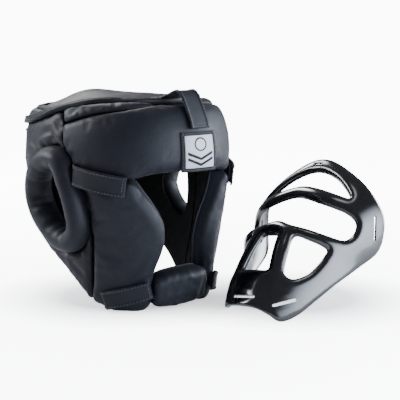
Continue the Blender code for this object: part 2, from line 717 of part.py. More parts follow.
def main():
    for obj in list(bpy.data.objects):
        bpy.data.objects.remove(obj)
    looks = make_materials()

    forehead = both_halves(FOREHEAD_HALF)
    pad("forehead", forehead, looks)

    for side in ("right", "left"):
        turned = mirrored if side == "left" else list
        ring = resampled(turned(pattern(EAR_RING)), 7)
        cut = inset(ring, -EAR_GAP)
        cheek = notched(resampled(turned(pattern(CHEEK)), 8), cut)
        pad(f"cheek_{side}", cheek, looks, full=1.0, floor=0.0)
        panel = resampled(turned(pattern(SIDE)), 8)
        pad(f"side_{side}", notched(panel, cut), looks, full=-3.0, round_over=11.0, lining=None)
        lined = [inset(resampled(panel, 16), SEAM), resampled(inset(ring, EAR_HOLE_INSET), 14)]
        sheet(f"side_{side}_lining", lined, on_head, LINING[1], LINING[0], 24, looks["lining"])
        ear_ring(side, ring, looks)
        crescent = turned(pattern(CROWN_CRESCENT))
        pad(f"crown_{side}", crescent, looks, back=CROWN_BACK, round_over=9.0, pitch=17.0, lining=None)
        for kind in STRAPS:
            guard_strap(kind, side, turned, looks)

    pad("crown_rear", both_halves(CROWN_REAR_HALF), looks, back=CROWN_BACK, round_over=9.0, lining=None)
    pad("occipital", both_halves(OCCIPITAL_HALF), looks, full=-2.0)
    stretch = resampled(both_halves(STRETCH_HALF), 14)
    sheet("stretch_panel", [inset(stretch, SEAM)], on_head, -8.0, -10.5, 15, looks["webbing"])
    top = crown_outline()
    pad("crown_top", top, looks, surface=on_crown, back=CROWN_BACK, lining=(-14.2, -12.8), round_over=9.0)
    crown_strap(looks)
    rear_strap(looks)
    label(looks)
    chin_cup(looks)
    guard(looks)


main()
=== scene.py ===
"""The looks of a boxing headgear and the face guard standing beside it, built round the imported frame.

Every padded piece is drawn as a pattern of (degrees round the head form, millimetres up it), meshed
finely, raised to a crowned profile, puffed by one cloth simulation and laid on the form. Lengths are
millimetres until mesh_object, which makes metres.
"""

import math

import bpy
import numpy as np
from mathutils import Matrix, Vector
from mathutils.geometry import delaunay_2d_cdt


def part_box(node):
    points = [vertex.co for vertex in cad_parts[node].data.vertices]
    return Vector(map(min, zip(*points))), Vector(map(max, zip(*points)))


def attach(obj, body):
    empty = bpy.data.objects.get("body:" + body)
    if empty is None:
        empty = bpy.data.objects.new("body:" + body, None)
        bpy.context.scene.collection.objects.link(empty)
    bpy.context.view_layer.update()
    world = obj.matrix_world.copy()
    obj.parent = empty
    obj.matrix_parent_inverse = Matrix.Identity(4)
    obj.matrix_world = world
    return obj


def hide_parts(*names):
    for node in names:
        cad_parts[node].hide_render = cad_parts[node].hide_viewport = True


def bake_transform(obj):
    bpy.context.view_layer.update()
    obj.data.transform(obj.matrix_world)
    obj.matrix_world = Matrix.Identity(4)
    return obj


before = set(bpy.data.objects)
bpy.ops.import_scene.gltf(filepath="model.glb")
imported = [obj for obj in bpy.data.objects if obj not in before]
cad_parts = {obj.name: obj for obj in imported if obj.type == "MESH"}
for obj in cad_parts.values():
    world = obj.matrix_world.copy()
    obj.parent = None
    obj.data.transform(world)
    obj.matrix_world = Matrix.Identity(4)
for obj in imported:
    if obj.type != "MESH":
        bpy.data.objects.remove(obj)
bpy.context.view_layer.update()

MM = 0.001

# --- the head form, as in the CAD model ---
HALF_WIDTH, HALF_DEPTH, ROUNDNESS = 105.0, 125.0, 2.15
FORM = (  # (height along the form, share of the full girth, height above the surface)
    (-12, 0.785, -12), (0, 0.80, 0), (40, 0.85, 40), (80, 0.905, 80), (120, 0.965, 120), (150, 0.995, 150),
    (170, 1.0, 170), (190, 0.985, 190), (210, 0.945, 209), (225, 0.885, 221), (240, 0.78, 227.3),
    (265, 0.57, 229.4), (300, 0.27, 230.4), (330, 0.0, 230.6),
)
CROWN_ROWS = 8  # the rows of FORM before its crown
REAR_DROP = 9.0
REAR_DROP_FROM, REAR_DROP_OVER = 60, 55  # degrees round from the front
REAR_DROP_RIM, REAR_DROP_TOP = (0.99, 0.19), (0.3, 0.45)  # where it fades: (share of the girth, over)
BROW_HEIGHT = 170  # the rear only drops above it
MM_PER_DEGREE = 1.85

low, high = (np.array(corner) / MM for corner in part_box("forehead_cover"))
HEAD_CENTRE = Vector(((low[0] + high[0]) / 2, low[1] + HALF_DEPTH, 0.0))
HEAD = Matrix.Translation(HEAD_CENTRE)

# --- the guard's form, as in the CAD model ---
GUARD_ORIGIN = Vector((110.4, -181.0, -40.2))
GUARD_YAW, GUARD_LEAN, GUARD_ROLL = -92.3, 26.2, -8.6
GUARD_PLACE = (
    Matrix.Translation(HEAD_CENTRE + GUARD_ORIGIN)
    @ Matrix.Rotation(math.radians(GUARD_YAW), 4, "Z")
    @ Matrix.Rotation(math.radians(-GUARD_LEAN), 4, "X")
    @ Matrix.Rotation(math.radians(GUARD_ROLL), 4, "Y")
)
GUARD_FORM = (  # (height, half width, depth in front of the guard's axis)
    (-6, 61, 114.6), (14, 69, 112), (44, 75, 108), (74, 78, 101.5), (104, 85.5, 90.5),
    (129, 90, 78.5), (149, 89, 68), (169, 81, 57), (189, 65, 46), (206, 46, 38),
)
GUARD_ROUNDNESS = 2.2
GUARD_WALL, GUARD_OUTSIDE = 3.0, 1.6  # its thickness, and how far outside the form its face is

# --- pattern pieces: (degrees, millimetres), the wearer's right side ---
FOREHEAD_HALF = (
    (0, 153.5), (10, 153.2), (21, 152), (30, 149.5), (37, 146.5), (46, 147), (56, 150), (66, 156),
    (73, 164), (78, 177), (81, 190), (81.5, 204.5), (75, 208.8), (68, 213), (58, 218.6), (50, 222.4),
    (42, 226), (34, 230.5), (25, 236), (15, 241.5), (7, 244.5), (0, 245.5),
)
CHEEK = (
    (36, 144.2), (29.8, 130), (22.7, 113.5), (17.2, 98), (15.6, 78), (17.6, 60), (20.6, 46),
    (22, 34), (22, 18), (23.8, 4), (32, -4), (47, -4), (57, 2), (65, 11), (63.5, 30),
    (62.5, 47), (61.2, 78), (63.2, 108), (66, 135), (67.5, 148), (60, 149.5), (50, 146), (42, 144.4),
)
SIDE = (
    (68.5, 135), (69.6, 152), (74.2, 162.5), (78.8, 176), (81.5, 189.5), (82, 204), (84, 212),
    (86.2, 221.5), (89.5, 229.5), (95, 223.6), (100, 217.4), (121, 205), (150, 198.8), (152, 160),
    (151, 120), (149, 97), (136, 81), (124, 68), (111, 56), (100, 46), (90, 35), (78, 20), (66.5, 9.5),
    (65, 30), (64.5, 47), (63.3, 78), (65.5, 108),
)
CROWN_CRESCENT = (
    (82.2, 207.2), (81.2, 207.0), (75, 211), (68, 215.2), (58, 220.8), (50, 224.8), (42, 228.4), (34, 233),
    (25, 238.5), (20, 242), (20, 245), (28, 250), (37, 252), (50, 247.5), (63, 241), (75, 236), (85.5, 234),
    (86.6, 232.6), (85.8, 223), (83.2, 213),
)
CROWN_REAR_HALF = (
    (180, 199.8), (160, 200), (150, 200.2), (135, 203), (121, 206.4), (109, 211.8), (101, 217.8),
    (96.4, 223.8), (90.8, 230.4), (88.6, 233.4), (92, 235.2), (99, 235), (106, 234.4), (125, 233.4),
    (150, 233), (180, 233),
)
CROWN_TOP_HALF = (  # (degrees, share of the full girth)
    (0, 0.61), (9, 0.61), (18, 0.612), (27, 0.625), (37, 0.645), (50, 0.685), (63, 0.735), (75, 0.77),
    (90, 0.79), (110, 0.805), (135, 0.81), (160, 0.81), (180, 0.81),
)
OCCIPITAL_HALF = ((180, 92), (168, 93), (157, 99), (155, 112), (155, 132), (159, 141), (180, 143))
STRETCH_HALF = ((180, 147), (165, 147), (155.5, 149), (155, 170), (155, 196), (160, 202), (180, 203))
CHIN_CUP = (
    (0, 43.5), (9, 42.5), (17.5, 40.0), (23.2, 34), (23.8, 22), (23.4, 9), (19.5, 3.4), (9, 2.6), (0, 3.2),
    (-8, 4.4), (-16, 7), (-19.2, 14), (-19.2, 36), (-17, 42), (-10, 43.6),
)
EAR_RING = (
    (92, 179), (80, 176.5), (73.5, 164), (70.2, 147), (66.8, 128.5), (64.4, 107), (64.4, 89), (69.5, 72),
    (79, 62), (93, 65), (106, 80), (115, 99), (118.5, 121), (115, 146), (105, 168),
)
ROLL_HALF_WIDTH, ROLL_HALF_DEPTH, ROLL_OFFSET = 13.0, 16.0, -3.0
EAR_GAP = 0.6
EAR_HOLE_INSET = 22.0
PAD_BACK, CROWN_BACK, CHIN_BACK = -20.0, -12.0, -16.0
SIDES = ("right", "left")
PATTERN_SEAM = 0.25  # how far each pattern stops short of its seam line


# --- the forms ---
def hermite(table, at):
    """The table's columns after the first, read at values of the first, on a smooth curve."""
    table = np.array(table, float)
    x, y = table[:, 0], table[:, 1:]
    rows = np.arange(len(x))
    before, after = np.maximum(rows - 1, 0), np.minimum(rows + 1, len(x) - 1)
    slope = (y[after] - y[before]) / (x[after] - x[before])[:, None]
    at = np.clip(np.asarray(at, float), x[0], x[-1])
    i = np.clip(np.searchsorted(x, at, side="right") - 1, 0, len(x) - 2)
    span = (x[i + 1] - x[i])[..., None]
    t = (at - x[i])[..., None] / span
    out = y[i] * (2 * t**3 - 3 * t**2 + 1) + slope[i] * span * (t**3 - 2 * t**2 + t)
    return out + y[i + 1] * (3 * t**2 - 2 * t**3) + slope[i + 1] * span * (t**3 - t**2)


def superellipse(angle, half_width, half_depth, power):
    """(x, y) at angles from the front, turning to the wearer's right."""
    c, s = np.cos(angle), np.sin(angle)
    r = (np.abs(c / half_depth) ** power + np.abs(s / half_width) ** power) ** (-1 / power)
    return -r * s, -r * c


def eased(t):
    t = np.clip(t, 0, 1)
    return t * t * (3 - 2 * t)


def rear_drop(degrees, share):
    (rim, over_rim), (top, over_top) = REAR_DROP_RIM, REAR_DROP_TOP
    fade = eased((rim - share) / over_rim) * eased((share - top) / over_top)
    return REAR_DROP * eased((np.abs(degrees) - REAR_DROP_FROM) / REAR_DROP_OVER) * fade


def head_surface(a, b):
    """a is millimetres of pattern round the form, b the height along it."""
    share, z = np.moveaxis(hermite(FORM, b), -1, 0)
    degrees = (np.asarray(a, float) / MM_PER_DEGREE + 180) % 360 - 180
    z = np.where(np.asarray(b) > BROW_HEIGHT, z - rear_drop(degrees, share), z)
    x, y = superellipse(np.radians(degrees), HALF_WIDTH, HALF_DEPTH, ROUNDNESS)
    return np.stack([x * share, y * share, z], -1)


def crown_surface(x, y):
    """The same form read from above, for the pad that crosses its top."""
    angle = np.arctan2(-x, -y)
    full = np.hypot(*superellipse(angle, HALF_WIDTH, HALF_DEPTH, ROUNDNESS))
    share = np.hypot(x, y) / full
    table = [(row[1], row[2]) for row in reversed(FORM[CROWN_ROWS:])]
    z = hermite(table, share)[..., 0] - rear_drop(np.degrees(angle), share)
    return np.stack([x, y, z], -1)


def guard_surface(a, b):
    half_width, depth = np.moveaxis(hermite(GUARD_FORM, b), -1, 0)
    x, y = superellipse(np.radians(np.asarray(a) / MM_PER_DEGREE), half_width, depth, GUARD_ROUNDNESS)
    return np.stack([x, y, np.broadcast_to(b, np.shape(x))], -1)


def raised(surface, flat, offset):
    """Points a distance out along the surface's normal, over (n, 2) pattern points."""
    flat = np.asarray(flat, float)
    a, b = flat[..., 0], flat[..., 1]
    step = 0.05
    along = surface(a + step, b) - surface(a - step, b)
    up = surface(a, b + step) - surface(a, b - step)
    normal = np.cross(up, along) * (-1 if surface is crown_surface else 1)
    normal /= np.linalg.norm(normal, axis=-1, keepdims=True)
    return surface(a, b) + normal * np.asarray(offset)[..., None]


# --- outlines ---
def pattern(points):
    """Outline points from (degrees, millimetres) to millimetres both ways."""
    return np.array(points, float) * (MM_PER_DEGREE, 1)


def turned(points, side):
    """The outline for a side of the head: the patterns are drawn for the right."""
    return points if side == "right" else (points * (-1, 1))[::-1]


def both_halves(half):
    right = pattern(half)
    return np.vstack([right, ((2 * right[0, 0], 0) + right[1:-1] * (-1, 1))[::-1]])


def resampled(outline, pitch, smooth=True):
    """The closed outline as a Catmull-Rom curve, or a polygon, cut into even steps."""
    p0, p1, p2, p3 = (np.roll(outline, 1 - k, 0)[:, None] for k in range(4))
    t = (np.arange(8) / 8)[None, :, None]
    curve = 2 * p1 + (p2 - p0) * t + (2 * p0 - 5 * p1 + 4 * p2 - p3) * t**2
    curve += (3 * p1 - p0 - 3 * p2 + p3) * t**3
    fine = (0.5 * curve if smooth else p1 + (p2 - p1) * t).reshape(-1, outline.shape[1])
    return evenly(np.vstack([fine, fine[:1]]), pitch)[:-1]


def run_along(line):
    """How far along an open line each of its points is."""
    return np.concatenate([[0], np.cumsum(np.linalg.norm(np.diff(line, axis=0), axis=1))])


def read_at(line, run, at):
    """An open line's columns at distances along it."""
    return np.stack([np.interp(at, run, line[:, k]) for k in range(line.shape[1])], 1)


def evenly(line, pitch):
    """An open line cut into even steps of about the pitch."""
    run = run_along(line)
    return read_at(line, run, np.linspace(0, run[-1], max(4, round(run[-1] / pitch)) + 1))


def circle(count, radius=1.0):
    """Points round a circle about the origin."""
    turn = np.linspace(0, 2 * np.pi, count, endpoint=False)
    return radius * np.stack([np.cos(turn), np.sin(turn)], 1)


def outward(loop):
    """Unit normals of a closed 2-D outline, pointing out of it."""
    along = np.roll(loop, -1, 0) - np.roll(loop, 1, 0)
    normal = np.stack([along[:, 1], -along[:, 0]], 1)
    normal /= np.linalg.norm(normal, axis=1, keepdims=True)
    area = np.sum(loop[:, 0] * np.roll(loop[:, 1], -1) - loop[:, 1] * np.roll(loop[:, 0], -1))
    return normal if area > 0 else -normal


KEPT_CLEAR = 0.93  # the share of its distance that a moved point keeps from every edge
ROW_RISE = 0.866  # the height of an even triangle of side 1


def shifted(loop, distance):
    """The outline moved inwards, or outwards where the distance is negative."""
    moved = loop - outward(loop) * distance
    far, _, _ = to_edges(moved, loop_edges([loop]))
    return moved[far > abs(distance) * KEPT_CLEAR]


def loop_edges(loops):
    """The edges of closed loops as an array of (start, end)."""
    return np.concatenate([np.stack([loop, np.roll(loop, -1, 0)], 1) for loop in loops])


def to_edges(points, edges):
    """For each point: its distance to the nearest edge, that edge's index, and how far along it."""
    start, step = edges[:, 0], edges[:, 1] - edges[:, 0]
    length = np.maximum(np.sum(step**2, 1), 1e-12)
    distance, index, along = [], [], []
    for chunk in np.array_split(points, max(1, len(points) // 1500)):
        to = chunk[:, None] - start[None]
        t = np.clip(np.sum(to * step, 2) / length, 0, 1)
        gap = np.linalg.norm(to - t[..., None] * step, axis=2)
        nearest = np.argmin(gap, 1)
        rows = np.arange(len(chunk))
        distance.append(gap[rows, nearest])
        index.append(nearest)
        along.append(t[rows, nearest])
    return np.concatenate(distance), np.concatenate(index), np.concatenate(along)


def within(points, loop):
    """Whether each point lies inside the closed loop."""
    x, y = points[:, 0, None], points[:, 1, None]
    a, b = loop[None], np.roll(loop, -1, 0)[None]
    rise = np.where(b[..., 1] == a[..., 1], 1e-12, b[..., 1] - a[..., 1])
    spans = (a[..., 1] > y) != (b[..., 1] > y)
    crosses = spans & (x < (b[..., 0] - a[..., 0]) * (y - a[..., 1]) / rise + a[..., 0])
    return np.sum(crosses, 1) % 2 == 1


def open_points(points, outline, cuts):
    """Whether each point lies inside the outline and outside its cuts."""
    kept = within(points, outline)
    for cut in cuts:
        kept &= ~within(points, cut)
    return kept


class Plan:
    """A flat mesh over an outline less its cuts: points, triangles and the rims in order."""

    def __init__(self, outline, cuts, pitch, rows):
        loops = [outline, *cuts]
        edges = loop_edges(loops)

        def wanted(points, clearance):
            return points[open_points(points, outline, cuts) & (to_edges(points, edges)[0] > clearance)]

        inner = []
        for k, distance in enumerate(rows):
            for loop in loops:
                for side in (1, -1):
                    ring = (loop + outward(loop) * distance * side)[:: 1 + k // 2]
                    inner.append(wanted(ring, distance * KEPT_CLEAR))
        low, high = outline.min(0), outline.max(0)
        grid = [
            (x + (pitch / 2 if row % 2 else 0), low[1] + row * pitch * ROW_RISE)
            for row in range(int((high[1] - low[1]) / (pitch * ROW_RISE)) + 1)
            for x in np.arange(low[0], high[0], pitch)
        ]
        filling = wanted(np.array(grid), (rows[-1] if rows else 0) + pitch * 0.55)
        fixed = np.concatenate(loops)
        points = np.concatenate([fixed, *inner, filling])
        constraints, first = [], 0
        for loop in loops:
            n = len(loop)
            constraints += [(first + i, first + (i + 1) % n) for i in range(n)]
            first += n
        made = delaunay_2d_cdt([Vector(p) for p in points], constraints, [], 0, 1e-5)
        flat = np.array([tuple(p) for p in made[0]])
        tris = np.array(made[2])
        tris = tris[open_points(flat[tris].mean(1), outline, cuts)]
        corners = flat[tris]
        one, two = corners[:, 1] - corners[:, 0], corners[:, 2] - corners[:, 0]
        turn = one[:, 0] * two[:, 1] - one[:, 1] * two[:, 0]
        tris[turn < 0] = tris[turn < 0][:, ::-1]
        used, tris = np.unique(tris, return_inverse=True)
        self.flat = flat[used]
        self.tris = tris.reshape(-1, 3)
        self.rims = self.ordered_rims()

    def ordered_rims(self):
        """The boundary's vertices, loop by loop."""
        seen = {(int(t[k - 1]), int(t[k])) for t in self.tris for k in (1, 2, 0)}
        follows = {a: b for a, b in seen if (b, a) not in seen}
        rims = []
        while follows:
            start, here = next(iter(follows.items()))
            rim = [start]
            del follows[start]
            while here != start and here in follows:
                rim.append(here)
                here = follows.pop(here)
            rims.append(rim)
        return rims

    def rim_edges(self):
        return loop_edges([self.flat[rim] for rim in self.rims])

    def inset(self):
        """How far each point is from the nearest rim."""
        return to_edges(self.flat, self.rim_edges())[0]


# --- meshes ---
def linked(name, data):
    """A new object in the scene."""
    made = bpy.data.objects.new(name, data)
    bpy.context.scene.collection.objects.link(made)
    return made


def mesh_object(name, points, faces, material, place=HEAD, edge=None):
    """A smooth-shaded mesh piece in metres. edge is 0 at a pad's seams and 1 away from them."""
    matrix = np.array(place)
    placed = (np.asarray(points) @ matrix[:3, :3].T + matrix[:3, 3]) * MM
    mesh = bpy.data.meshes.new(name)
    mesh.from_pydata(placed.tolist(), [], [tuple(int(i) for i in f) for f in faces])
    mesh.validate()
    mesh.materials.append(material)
    mesh.shade_smooth()
    if edge is not None:
        layer = mesh.attributes.new("edge", "FLOAT", "POINT")
        layer.data.foreach_set("value", np.asarray(edge, np.float32))
    return linked(name, mesh)


def attached(made, body, slot, *replaced, fill=None):
    """Tells the frame the body a piece rides on, by parenting it to that body's empty, and hides the nodes
    it stands for; its material slot is not used.
    """
    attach(made, body)
    if replaced:
        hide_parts(*replaced)


def stuffed(part, name, points, look, *replaced, fill):
    """A pad or a roll as a rounded leather piece."""
    made = mesh_object(name, points, part.faces, look, edge=part.edge)
    bpy.context.view_layer.objects.active = made
    modifier = made.modifiers.new("round", "SUBSURF")
    modifier.levels = modifier.render_levels = 1
    bpy.ops.object.modifier_apply(modifier=modifier.name)
    attached(made, part.body, "leather", *replaced, fill=fill)


def slab(plan, surface, upper, lower):
    """Points and faces of a closed body over a plan, between two heights above a form."""
    n = len(plan.flat)
    faces = [tuple(t) for t in plan.tris] + [tuple(n + i for i in t[::-1]) for t in plan.tris]
    for rim in plan.rims:
        for a, b in zip(rim, rim[1:] + rim[:1]):
            faces.append((b, a, n + a, n + b))
    points = np.concatenate([raised(surface, plan.flat, height) for height in (upper, lower)])
    return points, facing_out(points, faces)


def joined(bodies):
    """Several bodies of (points, faces) as one."""
    points, faces, first = [], [], 0
    for own, own_faces in bodies:
        points.append(own)
        faces += [tuple(int(first + i) for i in f) for f in own_faces]
        first += len(own)
    return np.concatenate(points), faces


def facing_out(points, faces):
    """The faces, turned over if they enclose a negative volume."""
    total = 0.0
    for f in faces:
        corner = points[f[0]]
        for k in range(1, len(f) - 1):
            total += np.dot(corner, np.cross(points[f[k]], points[f[k + 1]]))
    return faces if total > 0 else [f[::-1] for f in faces]


def swept(path, section, closed):
    """A section of (across, out) pairs swept along (points, across directions, out directions)."""
    centre, across, out = path
    section = np.asarray(section, float)
    if section.ndim == 2:
        section = np.broadcast_to(section, (len(centre), *section.shape))
    points = centre[:, None] + across[:, None] * section[..., :1] + out[:, None] * section[..., 1:]
    n, m = points.shape[:2]
    faces = []
    for i in range(n if closed else n - 1):
        j = (i + 1) % n
        faces += [(i * m + k, i * m + (k + 1) % m, j * m + (k + 1) % m, j * m + k) for k in range(m)]
    if not closed:
        faces += [tuple(reversed(range(m))), tuple((n - 1) * m + k for k in range(m))]
    points = points.reshape(-1, 3)
    return points, facing_out(points, faces)


def frames_along(points, out, closed=False):
    """Frames for swept along a line of points, given the direction out at each."""
    if closed:
        along = np.roll(points, -1, 0) - np.roll(points, 1, 0)
    else:
        along = np.gradient(points, axis=0)
    across = np.cross(along, out)
    across /= np.linalg.norm(across, axis=1, keepdims=True)
    return points, across, out


def form_line(flat, offset, closed=False, surface=head_surface):
    """Frames along a line of pattern points laid a distance out from the form."""
    here = raised(surface, flat, offset)
    out = raised(surface, flat, np.asarray(offset) + 1.0) - here
    return frames_along(here, out, closed)


# --- materials ---
class Nodes:
    """A short way to write a node tree."""

    def __init__(self, name):
        self.material = bpy.data.materials.new(name)
        self.material.use_nodes = True
        self.tree = self.material.node_tree
        self.shader = self.tree.nodes["Principled BSDF"]
        self.place = self.add("ShaderNodeTexCoord").outputs["Object"]

    def add(self, kind, **settings):
        node = self.tree.nodes.new(kind)
        for key, value in settings.items():
            setattr(node, key, value)
        return node

    def link(self, out, socket):
        self.tree.links.new(out, socket)

    def texture(self, kind, output, values, **settings):
        node = self.add(kind, **settings)
        self.link(self.place, node.inputs["Vector"])
        for key, value in values.items():
            node.inputs[key].default_value = value
        return node.outputs[output]

    def noise(self, scale, detail=2.0, roughness=0.5, distortion=0.0):
        values = {"Scale": scale, "Detail": detail, "Roughness": roughness, "Distortion": distortion}
        return self.texture("ShaderNodeTexNoise", "Fac", values)

    def cells(self, scale, feature="F1"):
        return self.texture("ShaderNodeTexVoronoi", "Distance", {"Scale": scale}, feature=feature)

    def wave(self, scale, axis, distortion=0.0):
        values = {"Scale": scale, "Distortion": distortion}
        return self.texture("ShaderNodeTexWave", "Fac", values, bands_direction=axis)

    def attribute(self, name):
        return self.add("ShaderNodeAttribute", attribute_name=name).outputs["Fac"]

    def ranged(self, value, low, high, out_low, out_high):
        node = self.add("ShaderNodeMapRange")
        self.link(value, node.inputs["Value"])
        for key, number in zip(("From Min", "From Max", "To Min", "To Max"), (low, high, out_low, out_high)):
            node.inputs[key].default_value = number
        return node.outputs["Result"]

    def put(self, value, socket):
        """Sets a socket to a number or an RGB colour, or links an output to it."""
        if isinstance(value, (int, float)):
            socket.default_value = value
        elif isinstance(value, tuple):
            socket.default_value = (*value, 1)
        elif value is not None:
            self.link(value, socket)

    def math(self, operation, one, two):
        node = self.add("ShaderNodeMath", operation=operation)
        self.put(one, node.inputs[0])
        self.put(two, node.inputs[1])
        return node.outputs[0]

    def mixed(self, factor, one, two):
        """A colour between two."""
        node = self.add("ShaderNodeMix", data_type="RGBA")
        self.link(factor, node.inputs["Factor"])
        self.put(one, node.inputs[6])
        self.put(two, node.inputs[7])
        return node.outputs[2]

    def bump(self, height, strength, distance, under=None):
        node = self.add("ShaderNodeBump")
        node.inputs["Strength"].default_value = strength
        node.inputs["Distance"].default_value = distance
        self.link(height, node.inputs["Height"])
        self.put(under, node.inputs["Normal"])
        return node.outputs["Normal"]

    def finish(self, colour, roughness, normal, **fixed):
        for name, value in (("Base Color", colour), ("Roughness", roughness), ("Normal", normal)):
            self.put(value, self.shader.inputs[name])
        for name, value in fixed.items():
            self.shader.inputs[name.replace("_", " ")].default_value = value
        return self.material


def times(colour, factor):
    return tuple(c * factor for c in colour)


def leather_material(name, base, seams=True):
    """Matt synthetic leather: pebble grain, soft mottling, darker in the seams as painted shade, and paler
    on the rolled edges beside them."""
    n = Nodes(name)
    dark = times(base, 0.78)
    pale = times(base, 1.3)
    colour = n.mixed(n.ranged(n.noise(22, 3.0), 0.3, 0.7, 0, 1), dark, base)
    colour = n.mixed(n.ranged(n.noise(420, 4.0, 0.65), 0.45, 0.8, 0, 0.5), colour, pale)
    if seams:
        edge = n.attribute("edge")
        # painted shade: the colour falls towards a quarter of the base in the seams and round the rims,
        # where shade falls
        seam_shade = n.ranged(edge, 0.0, 0.22, 0.75, 0.0)
        colour = n.mixed(seam_shade, colour, times(base, 0.25))
        worn = n.ranged(n.noise(60, 3.0), 0.4, 0.65, 0, 0.35)
        colour = n.mixed(n.math("MULTIPLY", n.ranged(edge, 0.18, 0.5, 1, 0), worn), colour, pale)
    roughness = n.ranged(n.noise(35, 3.0), 0.3, 0.7, 0.46, 0.58)
    grain = n.bump(n.cells(900, "SMOOTH_F1"), 0.22, 0.0006)
    normal = n.bump(n.noise(150, 4.0, 0.6), 0.10, 0.0012, grain)
    return n.finish(colour, roughness, normal, Specular_IOR_Level=0.21, Sheen_Weight=0.015,
                    Sheen_Roughness=0.6)


def knit_material(name, base, scale=1300, sheen=0.02):
    """A fine black knit that backs the pads."""
    n = Nodes(name)
    loops = n.math("MULTIPLY", n.wave(scale, "Z", 1.0), n.wave(scale * 0.8, "X", 1.0))
    colour = n.mixed(n.ranged(loops, 0.0, 1.0, 0, 1), times(base, 0.55), base)
    colour = n.mixed(n.ranged(n.noise(30), 0.35, 0.65, 0, 0.4), colour, times(base, 1.5))
    return n.finish(colour, 0.86, n.bump(loops, 0.35, 0.0005), Sheen_Weight=sheen, Sheen_Roughness=0.5,
                    Specular_IOR_Level=0.12)


def tape_material(name, base, scale):
    """Hook or loop tape: a dense pile of tiny cells."""
    n = Nodes(name)
    pile = n.cells(scale)
    colour = n.mixed(n.ranged(pile, 0.0, 0.6, 0, 1), base, times(base, 0.3))
    fuzz = n.bump(n.noise(700, 5.0, 0.7), 0.5, 0.0008, n.bump(pile, 0.6, 0.0010))
    return n.finish(colour, 0.9, fuzz, Sheen_Weight=0.03, Sheen_Roughness=0.4)


def satin_material(name, base, shade):
    """Woven satin with a warp sheen."""
    n = Nodes(name)
    weave = n.math("ADD", n.wave(900, "X"), n.wave(620, "Z"))
    colour = n.mixed(n.ranged(weave, 0.3, 1.7, 0, 1), shade, base)
    colour = n.mixed(n.ranged(n.noise(70, 2.0), 0.4, 0.6, 0, 0.5), colour, times(base, 0.88))
    return n.finish(colour, n.ranged(n.noise(60), 0.3, 0.7, 0.32, 0.45), n.bump(weave, 0.25, 0.0003),
                    Anisotropic=0.5, Sheen_Weight=0.1)


def thread_material(name, base):
    n = Nodes(name)
    twist = n.wave(2600, "DIAGONAL", 0.5)
    colour = n.mixed(n.ranged(twist, 0, 1, 0, 1), times(base, 0.6), base)
    return n.finish(colour, 0.55, n.bump(twist, 0.4, 0.0002), Sheen_Weight=0.1)


def gloss_material(name, base):
    """Injection-moulded gloss plastic: faint orange peel, hairline scuffs and a little dust."""
    n = Nodes(name)
    peel = n.bump(n.noise(40, 1.0), 0.03, 0.0008)
    scuffs = n.ranged(n.noise(260, 5.0, 0.7, 1.5), 0.58, 0.8, 0.0, 0.06)
    roughness = n.math("ADD", n.ranged(n.noise(18, 3.0), 0.3, 0.7, 0.12, 0.17), scuffs)
    colour = n.mixed(n.ranged(n.noise(25, 4.0), 0.4, 0.75, 0, 1), base, times(base, 2.0))
    return n.finish(colour, roughness, peel, IOR=1.6, Coat_Weight=0.5, Coat_IOR=1.5, Coat_Roughness=0.08)


def make_materials():
    charcoal = (0.0066, 0.0076, 0.0120)
    return {
        "leather": leather_material("leather", charcoal),
        "strap": leather_material("strap_leather", (0.0060, 0.0069, 0.0108), seams=False),
        "piping": leather_material("piping_leather", (0.012, 0.0134, 0.0185), seams=False),
        "lining": knit_material("lining_knit", (0.0025, 0.0025, 0.0030)),
        "elastic": knit_material("elastic_knit", (0.008, 0.0085, 0.011), scale=700, sheen=0.04),
        "hooks": tape_material("hook_tape", (0.008, 0.008, 0.009), 1500),
        "loops": tape_material("loop_tape", (0.010, 0.010, 0.012), 900),
        "badge": tape_material("badge_backing", (0.005, 0.005, 0.007), 1100),
        "satin": satin_material("badge_satin", (0.46, 0.48, 0.53), (0.20, 0.215, 0.25)),
        "embroidery": tape_material("badge_embroidery", (0.006, 0.006, 0.008), 1800),
        "thread": thread_material("pale_thread", (0.060, 0.065, 0.078)),
        "guard": gloss_material("guard_plastic", (0.0035, 0.0035, 0.0045)),
    }


# --- the pads ---
PITCH = 3.4
EDGE_ROWS = (1.0, 2.8)
FREE_SHARE = 0.56  # how much of its thickness a pad loses where its edge is free
SEWN_WIDTH = 8.0
SEWN_GAP, SEWN_FADE = 8.5, 4.0  # two rims this near each other are sewn together
PUCKERS = ((9.5, 0.4), (14.0, 0.6), (23.0, 0.5))  # (wavelength, height) of the gathers along a seam
BELLY_REACH = 30.0  # how far from its seams a pad is at its fullest


